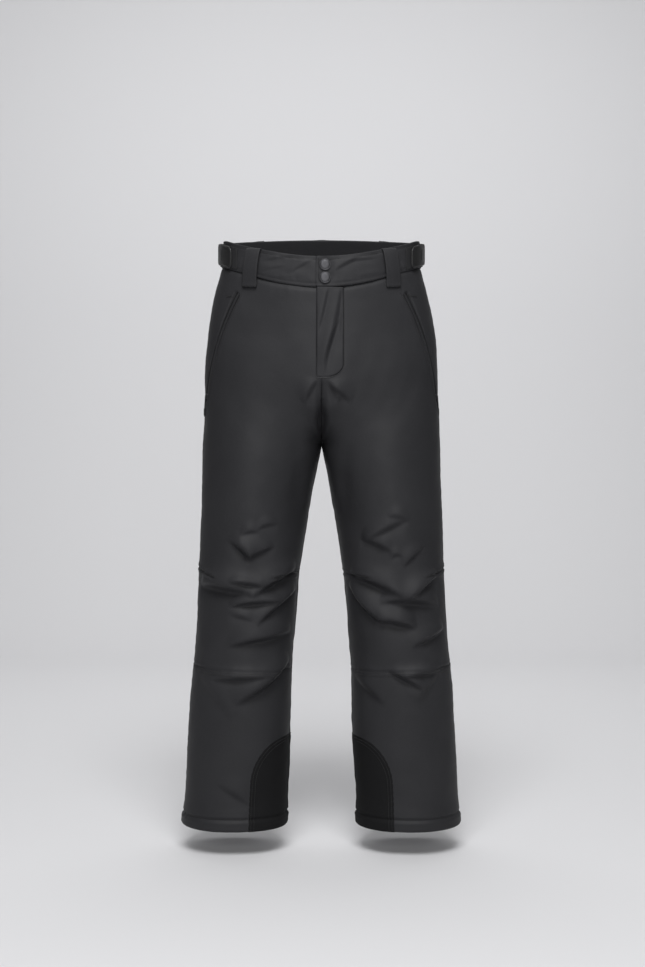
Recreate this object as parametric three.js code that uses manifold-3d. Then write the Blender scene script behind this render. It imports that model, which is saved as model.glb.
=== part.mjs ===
// Insulated ski pants, as worn: a shell and a quilted lining cut into hip, thigh and shin stretches that bend at
// the hips and the knees, a waistband with five belt loops and two side adjusters, a snapped and zipped fly,
// two zipped hand pockets, scuff guards at the inner ankles and elastic snow gaiters inside the legs.
// Millimetres. +Z is up, the wearer faces -Y and the wearer's left is +X.
// The origin is the middle of the waist opening, level with the top of the waistband at the hips.
import * as THREE from "three";
import { mergeVertices } from "three/addons/utils/BufferGeometryUtils.js";
import Module from "manifold-3d";

const wasm = await Module();
wasm.setup();

// ---- Driving dimensions -------------------------------------------------------------------------------------
const HEM_Z = -1015; // bottom edge of the legs
const CROTCH_Z = -352; // where the legs part
const KNEE_Z = -650;
const HIP_HALF = 203; // half width of the hips at their widest
const WAIST_HALF = 0.842 * HIP_HALF; // half width of the waist
const LEG_HALF = HIP_HALF / 2 + 2; // half width of a leg at the crotch
const LEG_X = LEG_HALF + 1; // middle of a leg at the crotch
const FRONT_DIP = 41; // the waist is this much lower at the front than at the sides
const BACK_RISE = 23; // and this much higher at the back
const WAIST_FRONT = 102.5; // waist edge to the side line, forwards
const WAIST_BACK = 108; // and backwards
const BAND_H = 44.5; // height of the waistband
const BAND_T = 4.6; // thickness of the waistband
const FACING_T = 1.6; // thickness of the soft facing inside the waistband
const SHELL_T = 1.2; // face fabric with its laminate
const LINING_T = 5.2; // quilted wadding and taffeta
const BAG_T = 1.4; // pocket bag, both cloths
const SIT = 0.35; // clearance between pieces that touch
const PIVOT_GAP = 1.6; // clearance between stretches that turn against each other

const HIP_PIVOT = { y: 2, z: CROTCH_Z + 52, r: 130 };
const KNEE_PIVOT = { y: 3, z: KNEE_Z, r: 128 };

// Hip stations: half width, depth forwards, depth backwards, and radius of the rounded sides.
const HIP_STATIONS = [
  { z: 60, a: WAIST_HALF - 2, f: 95.7, k: 101, r: 78 },
  { z: -45, a: WAIST_HALF + 3, f: 103, k: 112, r: 78 },
  { z: -90, a: WAIST_HALF + 14, f: 106.2, k: 120, r: 80 },
  { z: -150, a: HIP_HALF - 7, f: 110.4, k: 131, r: 82 },
  { z: -220, a: HIP_HALF, f: 115.3, k: 138, r: 84 },
  { z: -280, a: HIP_HALF, f: 112, k: 131, r: 84 },
  { z: CROTCH_Z + 34, a: HIP_HALF - 15, f: 96, k: 112, r: 76 },
  { z: CROTCH_Z + 4, a: HIP_HALF - 53, f: 62, k: 76, r: 54 },
];
// Leg stations: middle and half width across, middle and half depth. The lower ones spread with the shin's length.
const shinZ = (share) => KNEE_Z + (HEM_Z - KNEE_Z) * share;
const LEG_STATIONS = [
  { z: CROTCH_Z + 142, x: LEG_X - 4.5, a: LEG_HALF - 5.5, y: 9, b: 97 },
  { z: CROTCH_Z + 72, x: LEG_X - 3, a: LEG_HALF + 1, y: 7, b: 106 },
  { z: CROTCH_Z, x: LEG_X, a: LEG_HALF, y: 5, b: 106 },
  { z: CROTCH_Z - 63, x: LEG_X + 6.5, a: LEG_HALF - 5.5, y: 5, b: 101 },
  { z: KNEE_Z + 130, x: LEG_X + 16.5, a: LEG_HALF - 13.5, y: 3, b: 95 },
  { z: KNEE_Z + 67, x: LEG_X + 22.5, a: LEG_HALF - 16.5, y: 2, b: 90 },
  { z: KNEE_Z, x: LEG_X + 26.5, a: LEG_HALF - 17.5, y: 3, b: 87 },
  { z: shinZ(0.24), x: LEG_X + 34, a: LEG_HALF - 17, y: 8, b: 84 },
  { z: shinZ(0.51), x: LEG_X + 39, a: LEG_HALF - 14.5, y: 12, b: 81 },
  { z: shinZ(0.79), x: LEG_X + 44.5, a: LEG_HALF - 14.5, y: 12, b: 78 },
  { z: HEM_Z, x: LEG_X + 48.5, a: LEG_HALF - 13.5, y: 8, b: 76 },
  { z: HEM_Z - 60, x: LEG_X + 51.5, a: LEG_HALF - 13, y: 5, b: 74 },
];
const SIDE_STEPS = 7; // facets of a rounded side of the hips
const FACE_STEPS = 6; // facets of the front, and of the back
const LEG_STEPS = 20; // facets round a leg
const PIVOT_STEPS = 28; // facets round a hip or knee pivot
const FACET_SAG = 0.2; // how far a curved fitting's facets fall inside its arc

const HEM_H = 21; // height of the turned hem
const HEM_T = 4; // thickness of the turned hem

const FLY_X = 14; // middle of the fly flap
const FLY_HALF = 22.25; // half width of the fly flap
const FLY_BOTTOM_Z = -244;
const FLY_ZIP_X = -4; // the zip's middle, from the flap's middle
const FLAP_T = 2.4;
const FLY_LEAN = 0.07; // how far the front comes forward for each mm down
const SNAP_Z = [-55, -77]; // the two snaps
const SNAP_X = -8; // from the flap's middle
const SNAP_R = 7.6;
const UNDERLAP_T = 2;
const UNDERLAP_DEPTH = 9.4; // depth of the underlap's face behind the flap's

const LOOP_W = 26;
const LOOP_T = 1.8;
const LOOP_GAP = 6.4; // room for a belt
const LOOP_BELOW = 9; // the loop ends this far below the waistband

const ADJUST_R = 78; // the waistband's side radius
const PATCH_T = 1; // hook tape and loop tape
const STRAP_T = 1.2;
const TAB_T = 2.4;
const TAB_DROP = 2.5; // from the band's top edge to the tab's
const TAB_H = 40;
const STRAP_H = 28;
const TAB_FROM = -50; // degrees round from the side line, forwards negative
const TAB_TO = -5;

const POCKET_TOP = { turn: -61, z: -104 }; // degrees round the hip from the side line
const POCKET_END = { turn: -19, z: -270 };
const ZIP_DEPTH = 1.5; // the zip lies this far under the hip's face
const TAPE_HALF = 8;
const CHAIN_HALF = 2.9;
const CHAIN_SPLIT = 0.7; // half the gap between the two rows of teeth
const CORD_L = 38; // length of the pocket zip's pull

const GAITER_TOP_Z = HEM_Z + 165;
const GAITER_BOTTOM_Z = HEM_Z + 30;
const GAITER_HALF = 60; // half width of the elastic opening
const GAITER_T = 1.2;
const ELASTIC_H = 20;
const ELASTIC_T = 2.6;

// ---- Solids -------------------------------------------------------------------------------------------------
function solid(geometry) {
  const plain = geometry.clone();
  plain.deleteAttribute("normal");
  plain.deleteAttribute("uv");
  const merged = mergeVertices(plain, 1e-4);
  return new wasm.Manifold(
    new wasm.Mesh({
      numProp: 3,
      vertProperties: merged.attributes.position.array,
      triVerts: new Uint32Array(merged.index.array),
    }),
  );
}

function geometryOf(made) {
  const mesh = made.getMesh();
  const stride = mesh.numProp;
  const points = new Float32Array(mesh.numVert * 3);
  for (let i = 0; i < mesh.numVert; i++)
    points.set(mesh.vertProperties.subarray(i * stride, i * stride + 3), i * 3);
  return new THREE.BufferGeometry()
    .setAttribute("position", new THREE.BufferAttribute(points, 3))
    .setIndex(new THREE.BufferAttribute(mesh.triVerts, 1));
}

// A closed skin over rings of equally many points, each ring anticlockwise from above, listed from the bottom up.
function loft(rings) {
  const count = rings[0].length;
  const points = [];
  const faces = [];
  for (const ring of rings) points.push(...ring);
  for (let j = 0; j + 1 < rings.length; j++)
    for (let i = 0; i < count; i++) {
      const a = j * count + i;
      const b = j * count + ((i + 1) % count);
      faces.push(a, b, b + count, a, b + count, a + count);
    }
  for (const [j, turn] of [[0, -1], [rings.length - 1, 1]]) {
    const middle = new THREE.Vector3();
    for (const p of rings[j]) middle.addScaledVector(p, 1 / count);
    points.push(middle);
    for (let i = 0; i < count; i++) {
      const a = j * count + i;
      const b = j * count + ((i + 1) % count);
      faces.push(points.length - 1, ...(turn > 0 ? [a, b] : [b, a]));
    }
  }
  const geometry = new THREE.BufferGeometry().setFromPoints(points);
  geometry.setIndex(faces);
  return solid(geometry);
}

// A prism whose outline is drawn in the Y-Z plane, from x0 to x1.
function sidePrism(outline, x0, x1) {
  const shape = new THREE.Shape(outline.map(([y, z]) => new THREE.Vector2(y, z)));
  const geometry = new THREE.ExtrudeGeometry(shape, { depth: x1 - x0, bevelEnabled: false });
  // The shape's own x, y and depth become Y, Z and X.
  geometry.applyMatrix4(new THREE.Matrix4().set(0, 0, 1, x0, 1, 0, 0, 0, 0, 1, 0, 0, 0, 0, 0, 1));
  return solid(geometry);
}

function block(x0, x1, y0, y1, z0, z1) {
  const geometry = new THREE.BoxGeometry(x1 - x0, y1 - y0, z1 - z0);
  return solid(geometry.translate((x0 + x1) / 2, (y0 + y1) / 2, (z0 + z1) / 2));
}

// A turned piece: its profile is [radius, depth] pairs about the Y axis, depth growing inwards from the front.
function turned(profile, x, z, steps = 12) {
  const geometry = new THREE.LatheGeometry(profile.map(([r, y]) => new THREE.Vector2(r, y)), steps);
  return solid(geometry.translate(x, 0, z));
}

// A wall round a vertical axis through x, y: between two radii, two angles in degrees and two heights.
function bend(x, y, r0, r1, from, to, z0, z1) {
  const facet = THREE.MathUtils.radToDeg(2 * Math.acos(1 - FACET_SAG / r1));
  const steps = Math.max(2, Math.ceil(Math.abs(to - from) / facet));
  const outline = [];
  for (let i = 0; i <= steps; i++) outline.push([r1, from + ((to - from) * i) / steps]);
  for (let i = steps; i >= 0; i--) outline.push([r0, from + ((to - from) * i) / steps]);
  const shape = new THREE.Shape(
    outline.map(([r, turn]) => {
      const t = THREE.MathUtils.degToRad(turn);
      return new THREE.Vector2(x + r * Math.cos(t), y + r * Math.sin(t));
    }),
  );
  const geometry = new THREE.ExtrudeGeometry(shape, { depth: z1 - z0, bevelEnabled: false });
  return solid(geometry.translate(0, 0, z0));
}

// ---- The body of the garment ----------------------------------------------------------------------------------
// A station's value at any height: cubic Hermite through the stations, with central-difference slopes.
function at(stations, key, z) {
  const s = stations[0].z < stations[1].z ? stations : [...stations].reverse();
  let i = 0;
  while (i < s.length - 2 && z > s[i + 1].z) i++;
  const slope = (j) => {
    const p = s[Math.max(0, j - 1)];
    const q = s[Math.min(s.length - 1, j + 1)];
    return (q[key] - p[key]) / (q.z - p.z);
  };
  const h = s[i + 1].z - s[i].z;
  const t = THREE.MathUtils.clamp((z - s[i].z) / h, 0, 1);
  return (
    (2 * t ** 3 - 3 * t ** 2 + 1) * s[i][key] +
    (t ** 3 - 2 * t ** 2 + t) * h * slope(i) +
    (3 * t ** 2 - 2 * t ** 3) * s[i + 1][key] +
    (t ** 3 - t ** 2) * h * slope(i + 1)
  );
}

// The hip's outline is an oval of four arcs: rounded sides, a flatter front and a flatter back.
function hipOval(z, inset = 0) {
  const [a, f, k, r] = ["a", "f", "k", "r"].map((key) => at(HIP_STATIONS, key, z));
  const face = (depth) => {
    const rise = ((a - r) ** 2 - (depth - r) ** 2) / (2 * (depth - r));
    return { rise, radius: depth + rise - inset, meet: Math.atan2(rise, a - r) };
  };
  return { z, side: a - r, r: r - inset, front: face(f), back: face(k) };
}

// The point of the oval whose outward normal is turned this far, in radians, from +X (side is 1) or -X.
function hipPoint(oval, turn, side = 1) {
  const face = turn < 0 ? oval.front : oval.back;
  const onFace = Math.abs(turn) > face.meet;
  const r = onFace ? face.radius : oval.r;
  const x = (onFace ? 0 : oval.side) + r * Math.cos(turn);
  const y = (onFace ? -Math.sign(turn) * face.rise : 0) + r * Math.sin(turn);
  return new THREE.Vector3(side * x, y, oval.z);
}

function hipRing(z, inset) {
  const oval = hipOval(z, inset);
  const half = [];
  const run = (from, to, steps) => {
    for (let i = 0; i < steps; i++) half.push(from + ((to - from) * i) / steps);
  };
  run(-Math.PI / 2, -oval.front.meet, FACE_STEPS / 2);
  run(-oval.front.meet, oval.back.meet, SIDE_STEPS);
  run(oval.back.meet, Math.PI / 2, FACE_STEPS / 2);
  const right = half.map((turn) => hipPoint(oval, turn, 1));
  const left = [Math.PI / 2, ...half.slice(1).reverse()].map((turn) => hipPoint(oval, turn, -1));
  return [...right, ...left];
}

function legRing(z, inset, side) {
  const [x, a, y, b] = ["x", "a", "y", "b"].map((key) => at(LEG_STATIONS, key, z));
  const ring = [];
  for (let i = 0; i < LEG_STEPS; i++) {
    const t = ((i + 0.5) / LEG_STEPS) * 2 * Math.PI;
    const n = new THREE.Vector2(b * Math.cos(t), a * Math.sin(t)).normalize();
    ring.push(
      new THREE.Vector3(x + a * Math.cos(t) - n.x * inset, y + b * Math.sin(t) - n.y * inset, z),
    );
  }
  if (side < 0) {
    for (const p of ring) p.x = -p.x;
    ring.reverse();
  }
  return ring;
}

// The whole garment as a solid, drawn in by an inset all round.
function body(inset) {
  const hip = HIP_STATIONS.map((s) => s.z).reverse();
  hip[0] += inset; // the crotch thickens upwards
  const legs = LEG_STATIONS.map((s) => s.z).reverse();
  return [1, -1]
    .map((side) => loft(legs.map((z) => legRing(z, inset, side))))
    .reduce((sum, leg) => sum.add(leg), loft(hip.map((z) => hipRing(z, inset))));
}

const WIDE = 320;
// Height of the waistband's top edge, which dips to the front and rises to the back.
const waistZ = (y) => (y < 0 ? -FRONT_DIP * (y / WAIST_FRONT) ** 2 : BACK_RISE * (y / WAIST_BACK) ** 2);
const DEPTHS = [-190, -120, -95, -70, -45, -20, 0, 25, 50, 75, 100, 130, 190];

// The stretch of side profile between the waist's line lowered by two amounts.
function waistSlice(top, bottom, x0 = -WIDE, x1 = WIDE) {
  return sidePrism(
    [
      ...DEPTHS.map((y) => [y, waistZ(y) - bottom]),
      ...[...DEPTHS].reverse().map((y) => [y, waistZ(y) - top]),
    ],
    x0,
    x1,
  );
}

function pivotDisc(pivot, grow, x0, x1) {
  const outline = [];
  for (let i = 0; i < PIVOT_STEPS; i++) {
    const t = (i / PIVOT_STEPS) * 2 * Math.PI;
    outline.push([pivot.y + (pivot.r + grow) * Math.cos(t), pivot.z + (pivot.r + grow) * Math.sin(t)]);
  }
  return sidePrism(outline, x0, x1);
}

const below = (z, x0, x1) => block(x0, x1, -WIDE, WIDE, z - 1200, z);
const above = (z, x0, x1) => block(x0, x1, -WIDE, WIDE, z, z + 1200);

// What the hips keep: under the waistband, and above the thighs, which start outside the hip pivot's disc.
function hipStretch() {
  return waistSlice(BAND_H + SIT, 700)
    .intersect(above(HIP_PIVOT.z - 10, -WIDE, WIDE).add(pivotDisc(HIP_PIVOT, 0, -WIDE, WIDE)));
}

function thighStretch(side) {
  const [x0, x1] = side > 0 ? [0, WIDE] : [-WIDE, 0];
  return below(HIP_PIVOT.z - 10, x0, x1)
    .subtract(pivotDisc(HIP_PIVOT, PIVOT_GAP, x0, x1))
    .intersect(above(KNEE_PIVOT.z, x0, x1))
    .subtract(pivotDisc(KNEE_PIVOT, PIVOT_GAP, x0, x1));
}

function shinStretch(side) {
  const [x0, x1] = side > 0 ? [0, WIDE] : [-WIDE, 0];
  return below(KNEE_PIVOT.z, x0, x1)
    .add(pivotDisc(KNEE_PIVOT, 0, x0, x1))
    .intersect(above(HEM_Z, x0, x1));
}

const outer = body(0);
const liningFrom = SHELL_T + SIT;
const liningTo = liningFrom + LINING_T;
const shellLayer = outer.subtract(body(SHELL_T));
const liningLayer = body(liningFrom).subtract(body(liningTo));

// ---- Frames of the fittings -------------------------------------------------------------------------------------
// The fly's frame: x across, y inwards and z up the front, from the hip's face at the fly's middle.
function flyFrame() {
  const oval = hipOval((SNAP_Z[0] + SNAP_Z[1]) / 2);
  const turn = -Math.acos(FLY_X / oval.front.radius);
  const place = hipPoint(oval, turn);
  const x = new THREE.Vector3(-Math.sin(turn), Math.cos(turn), 0);
  const z = new THREE.Vector3(0, FLY_LEAN, 1).normalize();
  const y = new THREE.Vector3().crossVectors(z, x).normalize();
  x.crossVectors(y, z);
  return new THREE.Matrix4().makeBasis(x, y, z).setPosition(place);
}
const FLY = flyFrame();
const flyZ = (z) => z - (SNAP_Z[0] + SNAP_Z[1]) / 2; // a height in the fly's own frame
const BAND_TOP = flyZ(-FRONT_DIP); // the waistband's top and bottom edges at the fly
const BAND_BOTTOM = BAND_TOP - BAND_H;
const FLY_BOTTOM = flyZ(FLY_BOTTOM_Z);

// The room that the fly's pieces take out of the shell, the lining and the waistband.
const flyRoom = block(-FLY_HALF - SIT, FLY_HALF + SIT, -20, 20, FLY_BOTTOM - SIT, 60).transform(FLY.elements);
const FLY_WELL = block(-FLY_HALF - 6, FLY_HALF + 6, -20, UNDERLAP_DEPTH + 6, FLY_BOTTOM - 6, 60);

// A pocket's zip follows an arc through three points of the hip's face. Its frame is centred on that arc:
// x outwards to the zip's lower end, y up along the zip, z across it.
function pocketFrame(side) {
  const turns = [POCKET_TOP.turn, (POCKET_TOP.turn + POCKET_END.turn) / 2, POCKET_END.turn];
  const heights = [POCKET_TOP.z, (POCKET_TOP.z + POCKET_END.z) / 2, POCKET_END.z];
  const [top, mid, end] = turns.map((turn, i) =>
    hipPoint(hipOval(heights[i]), THREE.MathUtils.degToRad(turn), side),
  );
  const chord = top.clone().sub(end);
  const foot = top.clone().add(end).multiplyScalar(0.5);
  const out = mid.clone().sub(foot);
  out.addScaledVector(chord, -out.dot(chord) / chord.lengthSq());
  const sagitta = out.length();
  const radius = (chord.length() / 2) ** 2 / (2 * sagitta) + sagitta / 2;
  const centre = foot.clone().addScaledVector(out.normalize(), sagitta - radius);
  const x = end.clone().sub(centre).normalize();
  const across = new THREE.Vector3().crossVectors(x, chord).normalize();
  const y = new THREE.Vector3().crossVectors(across, x);
  const sweep = 2 * Math.asin(chord.length() / 2 / radius);
  return { matrix: new THREE.Matrix4().makeBasis(x, y, across).setPosition(centre), radius, sweep, centre, across };
}

const SIDES = [["left", 1], ["right", -1]];
const pockets = new Map(SIDES.map(([name, side]) => [name, pocketFrame(side)]));
const degrees = THREE.MathUtils.radToDeg;

// Where a pocket's zip and slider sit in the shell and the lining.
function pocketSlot(pocket) {
  const end = degrees(9 / pocket.radius);
  return bend(0, 0, pocket.radius - 6.4, pocket.radius + 12, -end, degrees(pocket.sweep) + end,
    -TAPE_HALF - SIT, TAPE_HALF + SIT).transform(pocket.matrix.elements);
}

// The cloth round a pocket's zip that the bag lies behind.
function pocketArea(side, grow) {
  const span = [HIP_HALF - 133 - grow, HIP_HALF + 27 + grow];
  const [x0, x1] = side > 0 ? span : [-span[1], -span[0]];
  return block(x0, x1, -104 - grow, -9 + grow, -318 - grow, -112 + grow);
}

const bagLayer = body(liningFrom).subtract(body(liningFrom + BAG_T));
const bagRoom = outer.subtract(body(liningFrom + BAG_T + SIT));

// ---- The garment's pieces -----------------------------------------------------------------------------------------
const group = new THREE.Group();
group.name = "ski_pants";

const FINISH = {
  shell: { color: 0x2a2a2c, roughness: 0.6, metalness: 0 },
  lining: { color: 0x1d1d20, roughness: 0.7, metalness: 0 },
  fleece: { color: 0x18181a, roughness: 0.95, metalness: 0 },
  guard: { color: 0x161617, roughness: 0.85, metalness: 0 },
  webbing: { color: 0x232325, roughness: 0.8, metalness: 0 },
  tape: { color: 0x151516, roughness: 0.9, metalness: 0 },
  plastic: { color: 0x1c1c1c, roughness: 0.45, metalness: 0 },
  metal: { color: 0x3c3c3e, roughness: 0.4, metalness: 0.8 },
};

function add(name, finish, made, frame = new THREE.Matrix4()) {
  const mesh = new THREE.Mesh(geometryOf(made), new THREE.MeshStandardMaterial(FINISH[finish]));
  mesh.name = name;
  mesh.applyMatrix4(frame);
  group.add(mesh);
}

function addHips() {
  const hips = hipStretch();
  let shell = shellLayer.intersect(hips).subtract(flyRoom);
  let lining = liningLayer.intersect(hips).subtract(flyRoom).subtract(FLY_WELL.transform(FLY.elements));
  for (const [name, side] of SIDES) {
    const slot = pocketSlot(pockets.get(name));
    shell = shell.subtract(slot);
    lining = lining.subtract(slot).subtract(bagRoom.intersect(pocketArea(side, SIT)));
    add(`pocket_bag_${name}`, "lining", bagLayer.intersect(pocketArea(side, 0)).subtract(slot));
  }
  const seam = SIT / 2;
  for (const [name, side] of SIDES) {
    const [x0, x1] = side > 0 ? [seam, WIDE] : [-WIDE, -seam];
    add(`front_panel_${name}`, "shell", shell.intersect(block(x0, x1, -WIDE, -seam, -WIDE * 2, WIDE)));
    add(`back_panel_${name}`, "shell", shell.intersect(block(x0, x1, seam, WIDE, -WIDE * 2, WIDE)));
    add(`hip_lining_${name}`, "lining", lining.intersect(block(x0, x1, -WIDE, WIDE, -WIDE * 2, WIDE)));
  }
}

function addLegs() {
  for (const [name, side] of SIDES) {
    const thigh = thighStretch(side);
    add(`thigh_shell_${name}`, "shell", shellLayer.intersect(thigh));
    add(`thigh_lining_${name}`, "lining", liningLayer.intersect(thigh));
    const shin = shinStretch(side);
    const hem = outer.subtract(body(HEM_T)).intersect(below(HEM_Z + HEM_H, -WIDE, WIDE));
    add(`shin_shell_${name}`, "shell", shellLayer.add(hem).intersect(shin));
    add(
      `shin_lining_${name}`,
      "lining",
      liningLayer.intersect(shin).intersect(above(HEM_Z + HEM_H + SIT, -WIDE, WIDE)),
    );
    add(`scuff_guard_${name}`, "guard", scuffGuard(side));
    addGaiter(name, side);
  }
}

// A patch over the inner ankle, seen from the front as a quarter of an ellipse above a straight edge.
function scuffGuard(side) {
  const top = HEM_Z + 156;
  const foot = HEM_Z + 80;
  const reach = 62; // how far the patch comes round from the leg's inner line
  const inner = (z) => at(LEG_STATIONS, "x", z) - at(LEG_STATIONS, "a", z);
  const edge = [[inner(top) - 30, top]];
  const steps = 8;
  for (let i = 1; i <= steps; i++) {
    const t = (i / steps) * (Math.PI / 2);
    const z = foot + (top - foot) * Math.cos(t);
    edge.push([inner(z) + reach * Math.sin(t) ** 0.9, z]);
  }
  edge.push([inner(HEM_Z) + reach, HEM_Z], [inner(HEM_Z) - 30, HEM_Z]);
  const shape = new THREE.Shape(edge.map(([x, z]) => new THREE.Vector2(side * x, z)));
  const geometry = new THREE.ExtrudeGeometry(shape, { depth: 2 * WIDE, bevelEnabled: false });
  geometry.rotateX(Math.PI / 2).translate(0, WIDE, 0);
  return body(-1.1 - SIT).subtract(body(-SIT)).intersect(solid(geometry));
}

// A cloth cuff inside the leg that narrows to an elastic ring round the boot.
function addGaiter(name, side) {
  const x = at(LEG_STATIONS, "x", GAITER_BOTTOM_Z);
  const y = at(LEG_STATIONS, "y", GAITER_BOTTOM_Z);
  const ring = (z, half, inset) => {
    const points = [];
    for (let i = 0; i < LEG_STEPS; i++) {
      const t = (side * (i + 0.5) * 2 * Math.PI) / LEG_STEPS;
      const r = half - inset;
      points.push(new THREE.Vector3(side * (x + r * Math.cos(t)), y + r * Math.sin(t), z));
    }
    return points;
  };
  const cuff = (inset, past) =>
    loft([
      ring(GAITER_BOTTOM_Z - past, GAITER_HALF, inset),
      ring((GAITER_TOP_Z + GAITER_BOTTOM_Z) / 2, GAITER_HALF + 7, inset),
      legRing(GAITER_TOP_Z + past, liningTo + GAITER_T + inset, side),
    ]);
  add(`gaiter_${name}`, "lining", cuff(0, 0).subtract(cuff(GAITER_T, 1)));
  const z0 = GAITER_BOTTOM_Z - SIT - ELASTIC_H;
  const band = (inset, past) =>
    loft([z0 - past, z0 + ELASTIC_H + past].map((z) => ring(z, GAITER_HALF, inset)));
  add(`gaiter_elastic_${name}`, "webbing", band(0, 0).subtract(band(ELASTIC_T, 1)));
}

function addWaistband() {
  const slice = waistSlice(0, BAND_H);
  const band = outer.subtract(body(BAND_T)).intersect(slice).subtract(flyRoom);
  const inner = body(BAND_T + SIT).subtract(body(BAND_T + SIT + FACING_T));
  const well = FLY_WELL.transform(FLY.elements);
  add("waistband", "shell", band);
  add("waistband_facing", "fleece", inner.intersect(waistSlice(2, BAND_H - 1)).subtract(flyRoom).subtract(well));
}

// A strap that stands off the waistband, sewn down above and below it.
function addBeltLoops() {
  const places = [
    ["front_left", 1, -66],
    ["front_right", -1, -66],
    ["back_left", 1, 62],
    ["back_right", -1, 62],
    ["back_middle", 1, 90],
  ];
  for (const [name, side, turn] of places) {
    const angle = THREE.MathUtils.degToRad(turn);
    const mid = hipPoint(hipOval(-BAND_H / 2), angle, side);
    const topZ = waistZ(mid.y);
    const bottomZ = topZ - BAND_H - LOOP_BELOW;
    const low = hipPoint(hipOval(bottomZ), angle, side);
    const high = hipPoint(hipOval(topZ), angle, side);
    // The strap leans as the hip does under it. Its frame: x across, y outwards, z up.
    const up = high.clone().sub(low).normalize();
    const out = new THREE.Vector3(side * Math.cos(angle), Math.sin(angle), 0);
    const across = new THREE.Vector3().crossVectors(out, up).normalize();
    out.crossVectors(up, across);
    const frame = new THREE.Matrix4().makeBasis(across, out, up).setPosition(low);
    const length = high.distanceTo(low);
    const half = LOOP_W / 2;
    const stand = LOOP_GAP + SIT + 1.6;
    const foot = 4;
    const strap = block(-half, half, stand, stand + LOOP_T, 0, length)
      .add(block(-half, half, 0, stand + 0.5, 0, foot))
      .add(block(-half, half, 0, stand + 0.5, length - foot, length));
    // The feet are trimmed to the hip's face, which curves under them.
    const trimmed = strap.transform(frame.elements).subtract(body(-SIT));
    add(`belt_loop_${name}`, "shell", trimmed);
  }
}

function addFly() {
  const half = FLY_HALF;
  const depth = UNDERLAP_DEPTH;
  const hole = (z, r) => turned([[0, -30], [r, -30], [r, 30], [0, 30]], SNAP_X, flyZ(z), 12);
  const holes = (made, r) => SNAP_Z.reduce((left, z) => left.subtract(hole(z, r)), made);
  add("fly_flap", "shell", block(-half, half, 0, FLAP_T, FLY_BOTTOM, BAND_BOTTOM - SIT), FLY);
  add("waistband_tab", "shell", holes(block(-half, half, 0, FLAP_T, BAND_BOTTOM, BAND_TOP), 2.4), FLY);
  add("waistband_underlap", "fleece", holes(block(-half - 4, half + 3, depth, depth + UNDERLAP_T, BAND_BOTTOM, BAND_TOP), 2.4), FLY);
  add("fly_underlap", "lining", block(-half - 4, half + 3, depth, depth + UNDERLAP_T, FLY_BOTTOM - 4, BAND_BOTTOM - SIT), FLY);

  const split = CHAIN_SPLIT;
  const tapeTop = BAND_BOTTOM - 3;
  for (const [name, side, reach] of [["left", 1, 21], ["right", -1, 15.5]]) {
    const [a, b] = [FLY_ZIP_X + side * split, FLY_ZIP_X + side * reach];
    const chain = FLY_ZIP_X + side * CHAIN_HALF;
    const tape = block(Math.min(a, b), Math.max(a, b), 6.2, 7, FLY_BOTTOM + 2, tapeTop)
      .add(block(Math.min(a, chain), Math.max(a, chain), 5.6, 7.6, FLY_BOTTOM + 6, tapeTop - 2));
    add(`fly_zip_tape_${name}`, "tape", tape, FLY);
  }
  add("fly_zip_stop", "metal", block(FLY_ZIP_X - 3, FLY_ZIP_X + 3, 4.6, 5.3, FLY_BOTTOM + 6, FLY_BOTTOM + 9), FLY);

  const z0 = tapeTop - 16;
  const slider = block(FLY_ZIP_X - 4, FLY_ZIP_X + 4, 4.4, 5.3, z0, z0 + 10)
    .add(block(FLY_ZIP_X - 4, FLY_ZIP_X + 4, 7.9, 8.8, z0, z0 + 10))
    .add(block(FLY_ZIP_X - split + SIT / 2, FLY_ZIP_X + split - SIT / 2, 4.5, 8.7, z0 + 6, z0 + 10));
  add("fly_zip_slider", "metal", slider, FLY);
  add("fly_zip_pull", "metal", block(FLY_ZIP_X - 2.6, FLY_ZIP_X + 2.6, 2.9, 4.05, z0 - 12, z0 + 8), FLY);

  SNAP_Z.forEach((z, i) => {
    const name = ["upper", "lower"][i];
    const cap = [[0, -2.2], [4, -2], [6.6, -1.2], [SNAP_R, -SIT], [2, -SIT], [2, FLAP_T + 1.4], [0, FLAP_T + 1.4]];
    const face = FLAP_T + SIT;
    const socket = [[2.35, face], [6, face], [6, face + 3.4], [3.7, face + 3.4], [3.7, face + 1.6], [2.35, face + 1.6], [2.35, face]];
    const back = depth + UNDERLAP_T;
    const stud = [[0, 4.9], [2.2, 4.9], [3.1, 5.6], [3, 8.2], [5.6, 8.2], [5.6, depth - SIT], [2, depth - SIT],
      [2, back + SIT], [5.4, back + SIT], [5.4, back + 1.2], [0, back + 1.2]];
    add(`snap_cap_${name}`, "metal", turned(cap, SNAP_X, flyZ(z)), FLY);
    add(`snap_socket_${name}`, "metal", turned(socket, SNAP_X, flyZ(z)), FLY);
    add(`snap_stud_${name}`, "metal", turned(stud, SNAP_X, flyZ(z)), FLY);
  });
}

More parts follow.
